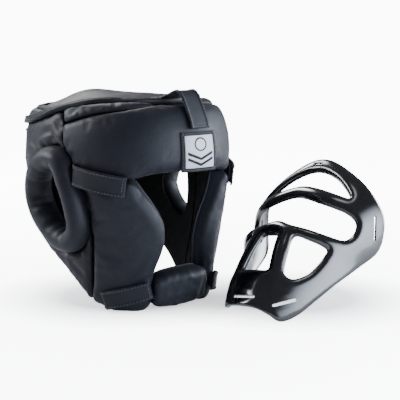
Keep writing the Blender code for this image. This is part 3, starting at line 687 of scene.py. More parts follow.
class Pad:
    """One stuffed piece of the pattern."""

    def __init__(self, name, outline, cuts=(), full=0.0, back=PAD_BACK, round_over=15.0, seam=4.5,
                 pucker=0.5, body="headgear", surface=head_surface, floor=None, creases=(), belly=0.0):
        self.name, self.full, self.back, self.surface = name, full, back, surface
        self.round_over, self.seam, self.pucker, self.body = round_over, seam, pucker, body
        self.floor, self.creases, self.belly = floor, creases, belly
        outline = shifted(resampled(outline, 3.0), PATTERN_SEAM)
        self.plan = Plan(outline, cuts, PITCH, EDGE_ROWS)
        self.edges = self.plan.rim_edges()
        self.rim = raised(surface, self.edges.mean(1), full)

    def shape(self, others, random):
        """Works out the pad's top and bottom layers once every pad is there."""
        depth = np.zeros(len(self.rim))
        for other in others:
            if other is self or other.body != self.body:
                continue
            gap = np.linalg.norm(self.rim[:, None] - other.rim[None], axis=2).min(1)
            near = eased((SEWN_GAP + SEWN_FADE - 1 - gap) / SEWN_FADE)
            depth = np.maximum(depth, near * max(self.seam, other.seam))
        flat = self.plan.flat
        distance, index, along = to_edges(flat, self.edges)  # to the seams
        lengths = np.linalg.norm(self.edges[:, 1] - self.edges[:, 0], axis=1)
        run = np.cumsum(lengths)[index] - lengths[index] * (1 - along)
        far = np.linalg.norm(flat[:, None] - self.edges.mean(1)[None], axis=2)
        weight = np.exp(-(far - far.min(1, keepdims=True)) / 4)
        weight /= weight.sum(1, keepdims=True)
        sewn_depth = weight @ depth
        sewn = weight @ (depth > 0.5).astype(float)
        thick = self.full - self.back
        free = self.rolled(distance, FREE_SHARE * thick, self.round_over)
        drop = free * (1 - sewn) + sewn * self.rolled(distance, sewn_depth, SEWN_WIDTH)
        waves = sum(
            np.sin(2 * np.pi * run / length + random.uniform(0, 6.28)) * size
            for length, size in PUCKERS
        )
        top = self.full - drop + self.pucker * waves * np.exp(-distance / 7) * eased(distance / 2.5)
        top += self.belly * (1 - np.exp(-((distance / BELLY_REACH) ** 2)))
        for start, end, deep, wide in self.creases:
            top -= crease(flat, *pattern([start, end]), deep, wide)
        self.points, self.faces = slab(self.plan, self.surface, top, self.back)
        # edge is low round the rims: the leather paints shade in the seams there, and pale wear beside them
        self.edge = np.concatenate([np.clip(distance / 10, 0, 1), np.full(len(flat), 1.0)])
        self.pinned = np.ones(len(self.points))
        self.pinned[: len(flat)] = np.clip(1 - (distance - 0.5) / 4, 0, 1)
        if self.name == "forehead":  # the label is sewn down flat
            under_label = np.abs(flat - (0, LABEL_HEIGHT)) < np.array(LABEL_HALF) + 2
            self.pinned[: len(flat)][under_label.all(1)] = 1

    @staticmethod
    def rolled(distance, depth, width):
        t = np.clip(distance / width, 0, 1)
        return depth * (1 - np.sqrt(1 - (1 - t) ** 2))

    def build(self, look):
        points = self.points.copy()
        if self.floor is not None:
            points[:, 2] = np.maximum(points[:, 2], self.floor)
        name = self.name
        stuffed(self, f"{name}_pad", points, look, f"{name}_cover", f"{name}_foam", fill=0.85)


def crease(flat, start, end, deep, wide):
    """How far a fold between two pattern points presses the surface in."""
    gap, _, t = to_edges(flat, np.array([[start, end]]))
    tapered = np.sqrt(np.maximum(np.sin(np.pi * (0.08 + 0.84 * t)), 0))
    lip = 0.35 * np.exp(-(((gap - wide * 2.1) / wide) ** 2))
    return deep * tapered * (np.exp(-((gap / wide) ** 2)) - lip)


CHEEK_CREASES = (
    ((58, 148), (50, 131), 0.9, 3.2), ((45, 60), (57, 72), 0.5, 6.0), ((24, 40), (34, 30), 0.8, 3.6),
    ((60, 20), (50, 26), 0.8, 3.5),
)
SIDE_CREASES = (
    ((88, 207), (84, 198), 2.2, 4.5), ((101, 179.5), (92, 184), 2.6, 2.8), ((91, 190), (86, 183), 1.6, 3.0),
    ((104, 192), (90, 196), 1.2, 5.0), ((82, 50), (73, 40), 1.0, 3.0), ((120, 176), (108, 170), 1.1, 4.0),
    ((140, 110), (124, 104), 0.9, 4.5), ((146, 150), (130, 146), 0.7, 5.0),
)
FOREHEAD_CREASES = (
    ((80, 205), (80.5, 186), 0.7, 3.2), ((74, 172), (66, 166), 1.1, 4.0), ((79, 176), (74, 183), 1.2, 3.0),
    ((30, 152), (12, 156), 0.5, 3.5),
)
CHIN_CREASES = (
    ((6, 40), (9, 10), 1.8, 2.6), ((13, 38), (12, 20), 1.5, 2.4), ((-4, 14), (10, 12), 1.3, 2.6),
    ((-14, 36), (-11, 12), 1.1, 2.8), ((1, 34), (-5, 26), 0.8, 3.0), ((15, 26), (18, 16), 1.2, 2.0),
)
CROWN_CREASES = (((78, 216), (72, 228), 1.0, 3.0), ((44, 232), (47, 242), 0.6, 3.0))
CROWN_TOP_FOLDS = (  # (across / 1.85, back): the soft crown stands up on one side and sags on the other
    ((-18, 30), (-6, 60), -3.5, 30.0), ((22, -18), (24, 36), 4.0, 30.0), ((-14, -62), (14, -62), 2.6, 16.0),
)
CROWN_PAD = {"back": CROWN_BACK, "round_over": 9.0, "seam": 4.2}


def folds(creases, side):
    """The creases of a pad on a side of the head."""
    sign = 1 if side == "right" else -1
    return [((a[0] * sign, a[1]), (b[0] * sign, b[1]), deep, wide) for a, b, deep, wide in creases]


def ring_outline(side):
    return resampled(turned(pattern(EAR_RING), side), 3.0)


def crown_outline():
    degrees, share = np.array(CROWN_TOP_HALF).T
    x, y = superellipse(np.radians(degrees), HALF_WIDTH, HALF_DEPTH, ROUNDNESS)
    right = np.stack([x * share, y * share], 1)
    return np.vstack([right, (right[1:-1] * (-1, 1))[::-1]])


def make_pads():
    pads = [Pad("forehead", both_halves(FOREHEAD_HALF), seam=1.6, pucker=0.35, belly=1.0,
                creases=[fold for side in SIDES for fold in folds(FOREHEAD_CREASES, side)])]
    for side in SIDES:
        cut = shifted(ring_outline(side), -EAR_GAP)
        cheek, panel, crescent = (turned(pattern(half), side) for half in (CHEEK, SIDE, CROWN_CRESCENT))
        pads.append(Pad(f"cheek_{side}", cheek, [cut], full=1.0, seam=6.5, belly=1.2, floor=0.0,
                        creases=folds(CHEEK_CREASES, side)))
        pads.append(Pad(f"side_{side}", panel, [cut], full=-2.0, round_over=11.0, seam=1.6, pucker=0.7,
                        creases=folds(SIDE_CREASES, side)))
        pads.append(Pad(f"crown_{side}", crescent, **CROWN_PAD, belly=1.0,
                        creases=folds(CROWN_CREASES, side)))
    pads.append(Pad("crown_rear", both_halves(CROWN_REAR_HALF), **CROWN_PAD))
    pads.append(Pad("occipital", both_halves(OCCIPITAL_HALF), full=-2.0, seam=5.0, belly=1.0))
    pads.append(Pad("crown_top", crown_outline(), **CROWN_PAD, surface=crown_surface, belly=1.5,
                    creases=CROWN_TOP_FOLDS))
    pads.append(Pad("chin_cup", pattern(CHIN_CUP), full=4.0, back=CHIN_BACK, round_over=8.0, pucker=1.2,
                    body="chin_cup", creases=CHIN_CREASES))
    return pads


# --- ear rings ---
class Ring:
    """The padded roll round an ear."""

    AROUND = 36
    CREASES = (  # (share of the way round, depth)
        (0.06, 0.9), (0.17, 0.5), (0.33, 0.6), (0.46, 0.9), (0.58, 0.6), (0.71, 1.1), (0.83, 0.8),
        (0.93, 0.6),
    )

    def __init__(self, side, random):
        self.side, self.body = side, "headgear"
        line = resampled(shifted(ring_outline(side), ROLL_HALF_WIDTH), 3.2)
        centre, across, out = form_line(line, ROLL_OFFSET, True)
        out /= np.linalg.norm(out, axis=1, keepdims=True)
        middle = centre.mean(0)
        inwards = np.sign(np.sum((middle - centre) * across, 1).mean())
        angle = np.linspace(0, 2 * np.pi, self.AROUND, endpoint=False)
        run = np.arange(len(line)) / len(line)
        swell = 1 + 0.015 * np.sin(2 * np.pi * (3 * run + random.uniform(0, 1)))
        sunk = np.zeros((len(line), self.AROUND))
        for at, deep in self.CREASES:
            gap = (run - at + random.uniform(-0.02, 0.02) + 0.5) % 1 - 0.5
            wide = random.uniform(0.008, 0.016)
            lips = 0.4 * np.exp(-(((np.abs(gap) - 2 * wide) / wide) ** 2))
            narrow = np.exp(-((gap / wide) ** 2)) - lips
            facing = np.clip(np.cos(angle - (0.35 if inwards > 0 else math.pi - 0.35)), 0, 1) ** 2
            sunk += 1.5 * deep * narrow[:, None] * facing[None]
        wide = (ROLL_HALF_WIDTH * swell[:, None] - sunk) * np.cos(angle)[None]
        high = (ROLL_HALF_DEPTH * swell[:, None] - sunk) * np.sin(angle)[None]
        self.points, self.faces = swept((centre, across, out), np.stack([wide, high], -1), True)
        back = np.clip(-np.sin(angle) * 2, 0, 1)
        self.pinned = np.tile(back, len(line))
        # edge is low on the roll's back against the pad: the leather paints shade there
        self.edge = np.tile(np.clip((np.sin(angle) + 0.75) / 0.9, 0, 1), len(line))

    def build(self, look):
        replaced = (f"ear_ring_cover_{self.side}", f"ear_ring_foam_{self.side}")
        stuffed(self, f"ear_roll_{self.side}", self.points, look, *replaced, fill=0.95)


PRESSURE = 4.0
OVERSIZE = -0.006  # the leather's extra length, as cloth shrinkage
SIM_FRAMES = 20
SIM_CAP = 4.0  # the most the cloth may move, in millimetres


def puffed(parts):
    """One cloth simulation of every pad and roll: pressure swells each one, and its pinned seams gather
    the slightly oversize leather."""
    points, faces = joined([(part.points, part.faces) for part in parts])
    points *= MM
    pinned = [part.pinned for part in parts]
    mesh = bpy.data.meshes.new("puff")
    mesh.from_pydata(points.tolist(), [], faces)
    cloth_object = linked("puff", mesh)
    group = cloth_object.vertex_groups.new(name="pinned")
    for i, weight in enumerate(np.concatenate(pinned)):
        if weight > 0:
            group.add([i], float(weight), "REPLACE")
    cloth = cloth_object.modifiers.new("cloth", "CLOTH")
    settings = cloth.settings
    settings.quality = 5
    settings.use_pressure = True
    settings.uniform_pressure_force = PRESSURE
    settings.effector_weights.gravity = 0
    settings.vertex_group_mass = group.name
    settings.pin_stiffness = 1.0
    settings.shrink_min = OVERSIZE
    settings.mass = 0.1
    settings.bending_stiffness = 2.0
    cloth.collision_settings.use_collision = False
    cloth.point_cache.frame_end = SIM_FRAMES
    scene = bpy.context.scene
    for number in range(1, SIM_FRAMES + 1):
        scene.frame_set(number)
    settled = cloth_object.evaluated_get(bpy.context.evaluated_depsgraph_get())
    after = np.empty(len(points) * 3)
    settled.data.vertices.foreach_get("co", after)
    scene.frame_set(1)
    bpy.data.objects.remove(cloth_object)
    bpy.data.meshes.remove(mesh)
    moved = (after.reshape(-1, 3) - points) / MM
    size = np.linalg.norm(moved, axis=1, keepdims=True)
    moved *= np.minimum(1, SIM_CAP / np.maximum(size, 1e-9))
    first = 0
    for part in parts:
        count = len(part.points)
        part.points = part.points + moved[first:first + count]
        first += count


# --- linings and pipings ---
LINING_THICK, LINING_GAP = 1.4, 0.8
QUILTING, QUILT_RATE = 0.35, 0.16  # height, and radians to the millimetre
PIPING_RADIUS = 0.95
LINING_CLEAR, PIPING_CLEAR = 0.8, 0.1  # how far they stay off the floor
SHORTEST_RIM = 12  # points; a shorter rim is a speck, and has no piping


def lining(name, outline, back, look, holes=(), body="headgear", surface=head_surface):
    """The soft knit backing behind a pad, quilted very slightly by the foam's sipes."""
    plan = Plan(resampled(outline, 5.0), [resampled(hole, 5.0) for hole in holes], 6.0, (1.5,))
    a, b = plan.flat.T * QUILT_RATE
    quilt = QUILTING * np.sin(a) * np.sin(b) * eased(plan.inset() / 8)
    points, faces = slab(plan, surface, back - LINING_GAP, back - LINING_GAP - LINING_THICK + quilt)
    points[:, 2] = np.maximum(points[:, 2], LINING_CLEAR)
    attached(mesh_object(f"{name}_inner", points, faces, look), body, "lining", f"{name}_lining", fill=0.2)


def piping(pad, look):
    """The cord sewn between a pad's leather and its backing, all round its rim."""
    lines = [pad.plan.flat[rim] for rim in pad.plan.rims if len(rim) >= SHORTEST_RIM]
    paths = [form_line(line, pad.back - 0.1, True, pad.surface) for line in lines]
    points, faces = joined([swept(path, circle(8, PIPING_RADIUS), True) for path in paths])
    points[:, 2] = np.maximum(points[:, 2], PIPING_CLEAR)
    attached(mesh_object(f"{pad.name}_piping", points, faces, look), pad.body, "leather")


CROWN_BINDING = (
    (180, 199.2), (165, 199.4), (150, 200.2), (135, 203.2), (121, 206.8), (109, 213.2), (101, 219.4),
    (94, 226), (87, 232.6), (82, 236), (75, 238.2), (63, 243.2), (50, 250), (42, 254),
)
BINDING_ROWS, BINDING_SPACING, BINDING_RADIUS = 3, 2.8, 1.6
BINDING_SINK = 3.5  # how much deeper than round each cord reaches into the seam
BINDING_TAPERS = (0.04, 0.06)  # the shares of an open binding over which its two ends taper
CROWN_BINDING_OFFSET = 2.5
CROWN_RIM_INSET, CROWN_RIM_OFFSET = -2.4, 0.8


def binding(name, line, offset, look, surface=head_surface, closed=False):
    """Ribbed tape bound over a seam: rows of cord side by side along a pattern line."""
    along = (np.roll(line, -1, 0) - np.roll(line, 1, 0)) if closed else np.gradient(line, axis=0)
    sideways = np.stack([-along[:, 1], along[:, 0]], 1) / np.linalg.norm(along, axis=1, keepdims=True)
    run = np.linspace(0, 1, len(line))
    first, last = BINDING_TAPERS
    ends = 1.0 if closed else 0.35 + 0.65 * eased(run / first) * eased((1 - run) / last)
    section = (BINDING_RADIUS * ends * np.ones(len(line)))[:, None, None] * circle(10)
    section[..., 1] *= np.where(section[..., 1] < 0, BINDING_SINK, 1.0)
    cords = []
    for row in range(BINDING_ROWS):
        flat = line + sideways * (row - 1) * BINDING_SPACING
        cords.append(swept(form_line(flat, offset - 0.2 * row, closed, surface), section, closed))
    attached(mesh_object(name, *joined(cords), look), "headgear", "leather")


def crown_bindings(look):
    """The tape over the seams between the crown's top, its rear and the pads round it."""
    corners = len(CROWN_BINDING)
    for side in SIDES:
        table = np.column_stack([range(corners), turned(pattern(CROWN_BINDING), side)])
        line = evenly(hermite(table, np.linspace(0, corners - 1, 80)), 2.5)
        binding(f"crown_binding_{side}", line, CROWN_BINDING_OFFSET, look)
    rim = shifted(resampled(crown_outline(), 3.0), CROWN_RIM_INSET)
    binding("crown_rim_binding", rim, CROWN_RIM_OFFSET, look, crown_surface, closed=True)


# --- stitches ---
STITCH_TAPER = (0, 0.18, 0.82, 1)  # a stitch's length, from its buried start to its buried end


def stitches(name, lines, look, length=2.6, gap=1.1, radius=0.28):
    """Short raised dashes of thread along lines of (points, out directions)."""
    points, faces = [], []
    ring = np.linspace(0, 2 * np.pi, 6, endpoint=False)
    for line, out in lines:
        run = run_along(line)
        for start in np.arange(0.4, run[-1] - length, length + gap):
            at = start + length * np.array(STITCH_TAPER)
            here = read_at(line, run, at)
            _, side, up = frames_along(here, read_at(out, run, at))
            first = len(points)
            points.append(here[0] - up[0] * radius)
            for p, u, s in zip(here[1:3], up[1:3], side[1:3]):
                points += [p + (s * math.cos(t) + u * math.sin(t)) * radius for t in ring]
            points.append(here[3] - up[3] * radius)
            for k in range(6):
                l = (k + 1) % 6
                faces.append((first, first + 1 + l, first + 1 + k))
                faces.append((first + 1 + k, first + 1 + l, first + 7 + l, first + 7 + k))
                faces.append((first + 13, first + 7 + k, first + 7 + l))
    points = np.array(points)
    made = mesh_object(name, points, facing_out(points, faces), look)
    return made


# --- straps ---
STRAP_THICK = 2.2
HEM = 3.2  # the turned-over edge of a strap
TAPE_OFFSETS, CROWN_TAPE_OFFSETS, REAR_TAPE_OFFSETS = (4.2, 2.4), (3.3, 1.5), (-0.2, -1.8)  # hooks, loops
STRAP_OFFSET, STRAP_RISE = 6.3, 5.9  # its pivot, and its middle before it arches
STRAP_TUCK, TUCK_DEPTH = 0.14, 7.5  # the share of a guard strap that is tucked under its pad
TIP_SHARE, TIP_DROP = 0.1, 0.5  # the share of its free end that lies down on the tape
TAPED = (0.66, 0.97)  # the shares of a guard strap between which it has tape
STITCH_INSET, STITCH_LIFT = 1.9, 0.32
STRAPS = {  # name: (sewn end, free end, width, extra arch at the middle)
    "cheek_strap": ((68.2, 150.8), (39.0, 140.5), 22.5, 2.0),
    "chin_strap": ((52.5, 13.2), (24.6, 27.0), 20.0, 1.0),
}
CROWN_STRAP_WIDTH = 26.0
CROWN_STRAP = (  # (back to front, height) of its middle line, from its sewn end on the crown
    (-46, 227.6), (-56, 229.6), (-67, 230.2), (-76, 231.4), (-85.5, 234.4), (-94, 237.8), (-101, 240.0),
    (-106.5, 238.4), (-111.5, 232.4), (-117.5, 222.0), (-123.0, 211), (-127.0, 201),
)
REAR_STRAP_WIDTH, REAR_STRAP_HEIGHT = 36.0, 172.0
REAR_STRAP_SEWN, REAR_STRAP_FREE = 149.5, 222.0
REAR_STRAP_OFFSET = 1.8
REAR_TUCK, REAR_TUCK_DEPTH, REAR_TAPED = 0.07, 5.0, (0.86, 0.985)
CROWN_TAPE_FROM, CROWN_TAPE_TO = 213.0, 200.5  # heights up the forehead


def hemmed_section(width):
    """A strap's section: flat between two turned-over edges that stand a little proud."""
    w, v = width / 2, STRAP_THICK / 2
    half = [(w - 0.35, -v), (w, -v * 0.55), (w + 0.12, 0), (w, v * 0.6), (w - 0.5, v + 0.15),
            (w - 1.4, v + 0.3), (w - HEM + 0.5, v + 0.25), (w - HEM, v - 0.25), (w - HEM - 0.6, v - 0.3),
            (w * 0.5, v - 0.3), (w * 0.25, v - 0.3)]
    left = [(-u, h) for u, h in reversed(half)]
    return np.array([*half, (0, v - 0.3), *left, (-w * 0.5, -v), (0, -v), (w * 0.5, -v)])


def strap_piece(name, path, width, looks, pivot):
    """A hemmed strap with a row of stitches along each edge."""
    centre, across, out = path
    out = out / np.linalg.norm(out, axis=1, keepdims=True)
    section = hemmed_section(width)
    sections = np.broadcast_to(section, (len(centre), *section.shape)).copy()
    wobble = 0.25 * np.sin(np.linspace(0, 1, len(centre)) * 11 + len(name))
    sections[..., 1] += wobble[:, None] * (1 - (2 * section[:, 0] / width) ** 2)
    made = mesh_object(f"{name}_web", *swept((centre, across, out), sections, False), looks["strap"])
    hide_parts(name)
    lift = STRAP_THICK / 2 + STITCH_LIFT
    w = width / 2 - STITCH_INSET
    lines = [(centre + across * side * w + out * lift, out) for side in (-1, 1)]
    end = across[-3] * np.linspace(-1, 1, 9)[:, None] * (w - 0.5)
    lines.append((centre[-3] + end + out[-3] * (lift - 0.1), np.repeat(out[-3:-2], 9, 0)))
    seam = stitches(f"{name}_stitching", lines, looks["thread"])
    start, end = hinge_span(path, pivot)
    for piece in (made, seam):
        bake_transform(piece)


def hinge_span(path, at, before=3.0, after=5.0):
    """Where a strap starts and ends its bend, either side of the point nearest its pivot, in metres."""
    centre = path[0]
    i = int(np.argmin(np.linalg.norm(centre - at, axis=1)))
    along = np.gradient(centre, axis=0)[i]
    along /= np.linalg.norm(along)
    placed = np.array(HEAD_CENTRE) + centre[i]
    return (placed - along * before) * MM, (placed + along * after) * MM


def tapes(name, flat, offsets, widths, looks):
    """The strips of hook tape under a strap's free end and of loop tape on the pad, with soft edges."""
    for kind, offset, width, body in zip(("hooks", "loops"), offsets, widths, (name, "headgear")):
        w, v = width / 2, 0.65
        half = [(w, -v), (w + 0.2, 0), (w - 0.3, v * 0.8), (w * 0.6, v)]
        section = [(-w, -v), *half, (0, v * 1.05), *((-u, h) for u, h in reversed(half[1:]))]
        points, faces = swept(form_line(flat, offset), section, False)
        made = mesh_object(f"{name}_{kind}_tape", points, faces, looks[kind])
        attached(made, body, "tape", f"{name}_{kind}")


def guard_straps(looks):
    """The four straps that hold the guard by the temples and the chin."""
    for kind, (sewn, free, width, arch) in STRAPS.items():
        for side in SIDES:
            a, b = (turned(pattern([p]), side)[0] for p in (sewn, free))
            name = f"{kind}_{side}"
            t = np.linspace(-STRAP_TUCK, 1.0, 44)
            rise = STRAP_RISE + arch * np.sin(np.pi * np.clip(t, 0, 1))
            rise -= TUCK_DEPTH * eased(-t / STRAP_TUCK) + TIP_DROP * eased((t - 1 + TIP_SHARE) / TIP_SHARE)
            path = form_line(a + (b - a) * t[:, None], rise)
            strap_piece(name, path, width, looks, raised(head_surface, a[None], STRAP_OFFSET)[0])
            on_tape = a + (b - a) * np.linspace(*TAPED, 8)[:, None]
            tapes(name, on_tape, TAPE_OFFSETS, (width - 4.5, width - 3), looks)


def crown_strap(looks):
    """The strap from the crown over the front rim to the forehead."""
    corners = len(CROWN_STRAP)
    table = [(i, 0.0, y, z) for i, (y, z) in enumerate(CROWN_STRAP)]
    line = evenly(hermite(table, np.linspace(0, corners - 1, 66)), 2.2)
    out = np.cross(np.array([1.0, 0, 0]), np.gradient(line, axis=0))
    out /= np.linalg.norm(out, axis=1, keepdims=True)
    out *= np.sign(out[0, 2])
    width = CROWN_STRAP_WIDTH
    strap_piece("crown_strap", frames_along(line, out), width, looks, np.array([0, *CROWN_STRAP[1]]))
    flat = np.stack([np.zeros(8), np.linspace(CROWN_TAPE_FROM, CROWN_TAPE_TO, 8)], 1)
    tapes("crown_strap", flat, CROWN_TAPE_OFFSETS, (width - 4.5, width - 3), looks)


def rear_strap(looks):
    """The closing strap across the back."""
    a, b = pattern([(REAR_STRAP_SEWN, REAR_STRAP_HEIGHT), (REAR_STRAP_FREE, REAR_STRAP_HEIGHT)])
    t = np.linspace(-REAR_TUCK, 1.0, 80)
    path = form_line(a + (b - a) * t[:, None], REAR_STRAP_OFFSET - REAR_TUCK_DEPTH * eased(-t / REAR_TUCK))
    pivot = raised(head_surface, a[None], REAR_STRAP_OFFSET)[0]
    strap_piece("rear_strap", path, REAR_STRAP_WIDTH, looks, pivot)
    on_tape = a + (b - a) * np.linspace(*REAR_TAPED, 8)[:, None]
    tapes("rear_strap", on_tape, REAR_TAPE_OFFSETS, (REAR_STRAP_WIDTH - 6, REAR_STRAP_WIDTH - 4), looks)


STRETCH_DEPTHS = (8.3, 10.5)  # its outer and inner faces, under the form
RIB_HEIGHT, RIB_PITCH = 0.7, 7.0


def stretch_panel(looks):
    """Ribbed elastic between the two sides at the back."""
    plan = Plan(shifted(resampled(both_halves(STRETCH_HALF), 2.0), 1.0), [], 2.2, (0.8,))
    ribs = RIB_HEIGHT * np.sin(2 * np.pi * plan.flat[:, 0] / RIB_PITCH) * eased(plan.inset() / 4)
    body = slab(plan, head_surface, ribs - STRETCH_DEPTHS[0], ribs - STRETCH_DEPTHS[1])
    made = mesh_object("stretch_elastic", *body, looks["elastic"])
    attached(made, "headgear", "webbing", "stretch_panel", fill=0.1)


# --- label ---
LABEL_HALF = (11.3 * MM_PER_DEGREE, 21.2)
LABEL_HEIGHT = 175.6
LABEL_BORDER = 4.0
LABEL_BASE = 1.2
RING_RADII, RING_HEIGHT = (5.6, 7.4), 7.6
CHEVRON_HEIGHTS, CHEVRON_RISE, CHEVRON_WIDTH = (-15.6, -9.6), 6.5, 3.4


def patch(name, outline, bottom, top, look, slot, *replaced, pitch=1.8, holes=(), crown=0.0):
    """A flat badge piece with softly rounded edges, between two heights above the label's base."""
    plan = Plan(outline, list(holes), pitch, (0.35, 0.9))
    distance = plan.inset()
    round_edge = (top - bottom) * 0.5 * (1 - np.sqrt(1 - (1 - np.clip(distance / 0.8, 0, 1)) ** 2))
    upper = LABEL_BASE + top - round_edge + crown * eased(distance / 6)
    body = slab(plan, head_surface, upper, LABEL_BASE + bottom)
    attached(mesh_object(name, *body, look), "headgear", slot, *replaced)


def label(looks):
    """A sewn badge: dark backing, satin face and a plain embroidered ring over two plain chevrons."""
    half = np.array(LABEL_HALF)
    square = np.array([(-1, -1), (1, -1), (1, 1), (-1, 1)], float)
    centre = np.array([0, LABEL_HEIGHT])
    outline = resampled(centre + square * half, 2.0, smooth=False)
    patch("badge_backing", outline, -0.6, 1.1, looks["badge"], "tape", "label_backing")
    inner = resampled(centre + square * (half - LABEL_BORDER), 2.0, smooth=False)
    patch("badge_face", inner, 0.7, 1.5, looks["satin"], "label", "label_face", crown=0.5)
    middle = centre + (0, RING_HEIGHT)
    hole, rim = (middle + circle(40, radius) for radius in RING_RADII)
    patch("badge_ring", rim, 1.0, 2.4, looks["embroidery"], "label", pitch=1.2, holes=[hole])
    w = half[0] - LABEL_BORDER - 2.2
    for k, low in enumerate(CHEVRON_HEIGHTS):
        under = [(-w, low + CHEVRON_RISE), (0, low), (w, low + CHEVRON_RISE)]
        bar = np.array(under + [(x, y + CHEVRON_WIDTH) for x, y in reversed(under)])
        chevron = resampled(centre + bar, 1.5, smooth=False)
        patch(f"badge_chevron_{k + 1}", chevron, 1.0, 2.4, looks["embroidery"], "label", pitch=1.2)
    line = resampled(centre + square * (half - LABEL_BORDER / 2), 1.5, smooth=False)
    line = np.vstack([line, line[:1]])
    here = raised(head_surface, line, LABEL_BASE + 1.15)
    out = raised(head_surface, line, LABEL_BASE + 2.15) - here
    seam = stitches("badge_stitching", [(here, out)], looks["thread"], 1.7, 1.3, 0.3)
    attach(seam, "headgear")


# --- the guard ---
GUARD_OUTLINE = (
    (0, 5), (10, 5.6), (18, 6), (26, 8.3), (34, 15), (44.5, 31.5), (56, 51), (70, 74), (82, 95),
    (84.5, 108), (83.2, 121), (79.5, 139), (71.6, 156), (60, 176), (44, 191), (24, 200), (0, 203),
    (-24, 200), (-44, 191), (-60, 176), (-71.6, 156), (-79.5, 139), (-83.2, 121), (-84.5, 108),
    (-82, 95), (-70, 74), (-56, 51), (-44.5, 28), (-34, 6), (-25, -5), (-18, -1), (-10, 3.6),
)
GUARD_EYES_HALF = (
    (0, 112), (14, 106.6), (28, 103), (42, 99.5), (53.4, 98.8), (59, 104.5), (61.2, 114), (59.5, 123.5),
    (52, 131), (40, 136.2), (27, 141), (14, 146), (0, 149),
)
GUARD_ARCH_HALF = (
    (0, 163.5), (16, 161), (30, 157), (42, 152.5), (51, 150), (51.5, 155), (46, 166), (38, 176),
    (27, 182.6), (14, 186.5), (0, 188),
)
GUARD_MOUTH = ((-6.8, 94), (6.8, 94), (11, 48), (-11, 48))
GUARD_CHEEK_WINDOW = (
    (19.3, 93.2), (31, 90.5), (43.7, 84.5), (43.5, 77), (41, 67.8), (35.5, 53), (27.8, 43.2),
    (22.5, 45), (20.4, 52), (19.2, 72),
)
GUARD_SLOTS = {  # where each slot's two ends are
    "brow": ((-9, 195.5), (9, 195.5)),
    "chin": ((-7.8, 15), (7.8, 15)),
    "jaw": ((20, 9.7), (30.8, 21)),
    "cheek": ((76.4, 110.7), (71.9, 134.1)),
}
SLOT_WIDTH = 3.2
GUARD_PITCH = 2.0
WINDOW_ROLL, WINDOW_DEPTH = 9.0, 4.6  # how the wall rolls in round a window
RIM_ROLL, RIM_DEPTH = 7.0, 1.8


def slot_outline(start, end):
    a, b = pattern([start, end])
    along = (b - a) / np.linalg.norm(b - a) * SLOT_WIDTH / 2
    side = np.array([-along[1], along[0]])
    turns = np.radians(np.arange(-90, 91, 30))
    cap = [side * math.sin(t) + along * math.cos(t) for t in turns]
    return np.array([b + p for p in cap] + [a - p for p in cap])


def guard(looks):
    """The moulded guard: one glossy wall that rolls in round every window, and stays full between."""
    outline = resampled(pattern(GUARD_OUTLINE), 2.2)
    window = resampled(pattern(GUARD_CHEEK_WINDOW), 2.0)
    mouth = resampled(pattern(GUARD_MOUTH), 2.0, smooth=False)
    for _ in range(3):  # rounds the mouth's corners
        mouth = (mouth + np.roll(mouth, 1, 0) + np.roll(mouth, -1, 0)) / 3
    windows = [resampled(both_halves(half), 2.2) for half in (GUARD_EYES_HALF, GUARD_ARCH_HALF)]
    windows += [mouth, window, turned(window, "left")]
    slots = []
    for name, ends in GUARD_SLOTS.items():
        slots.append(slot_outline(*ends))
        if name in ("jaw", "cheek"):
            slots.append(turned(slots[-1], "left"))
    plan = Plan(outline, windows + slots, GUARD_PITCH, (0.35, 0.9, 1.8, 3.2))
    rolls = [(loop, WINDOW_DEPTH, WINDOW_ROLL) for loop in windows] + [(outline, RIM_DEPTH, RIM_ROLL)]
    drop = sum(Pad.rolled(to_edges(plan.flat, loop_edges([loop]))[0], *roll) for loop, *roll in rolls)
    body = slab(plan, guard_surface, GUARD_OUTSIDE - drop, GUARD_OUTSIDE - drop - GUARD_WALL)
    made = mesh_object("guard_shell", *body, looks["guard"], GUARD_PLACE)
    made.data.set_sharp_from_angle(angle=math.radians(50))
    attached(made, "face_guard", "guard", "face_guard")


# --- camera, lights ---
VIEW_AZIMUTH, VIEW_ELEVATION = -42.5, 8.0
VIEW_TARGET = Vector((0.0380, 0.0044, 0.110))
VIEW_DISTANCE = 1.5
LENS = 117.36


def towards(azimuth, elevation):
    """The unit vector from the object, azimuth degrees round from its front towards +X."""
    a, e = math.radians(azimuth), math.radians(elevation)
    return Vector((math.sin(a) * math.cos(e), -math.cos(a) * math.cos(e), math.sin(e)))


def aimed(made, target, azimuth, elevation, distance):
    """Puts an object a distance from the target, facing it."""
    direction = towards(azimuth, elevation)
    made.location = target + direction * distance
    made.rotation_euler = direction.to_track_quat("Z", "Y").to_euler()


def camera():
    data = bpy.data.cameras.new("camera")
    data.lens = LENS
    data.sensor_width = 36
    made = linked("camera", data)
    aimed(made, VIEW_TARGET, VIEW_AZIMUTH, VIEW_ELEVATION, VIEW_DISTANCE)
    bpy.context.scene.camera = made


SOFTBOXES = {  # name: ((azimuth, elevation, distance), (width, height), watts, colour, share at full power)
    "right_softbox": ((12, 7, 0.85), (1.9, 1.2), 100, (0.77, 0.86, 1.0), 0.0),
    "edge_softbox": ((68, 12, 1.4), (1.1, 1.3), 100, (0.86, 0.92, 1.0), 0.15),
    "rear_softbox": ((166, 41, 1.5), (0.85, 0.85), 42, (1, 1, 1), 0.15),
    "left_softbox": ((-142, 28, 1.5), (1.1, 1.1), 100, (0.88, 0.93, 1.0), 0.15),
    "top_softbox": ((-40, 84, 1.7), (1.0, 1.0), 10, (1, 1, 1), 0.15),
}
LIT_MIDDLE = Vector((0.03, 0, 0.10))
ROOM_LIGHT, BACKDROP_LIGHT, FLOOR_GLOW = 0.16, 11.0, 7.5
CONTACTS = ((-0.03, 0.055), (0.10, -0.08))  # where the headgear and the guard rest, and the floor has painted contact shadows
CONTACT_SHADOW_REACH, CONTACT_SHADOW_GLOW = (0.07, 0.17), 0.12  # metres over which the glow fades in round a contact, and the share of it left there: a painted contact shadow
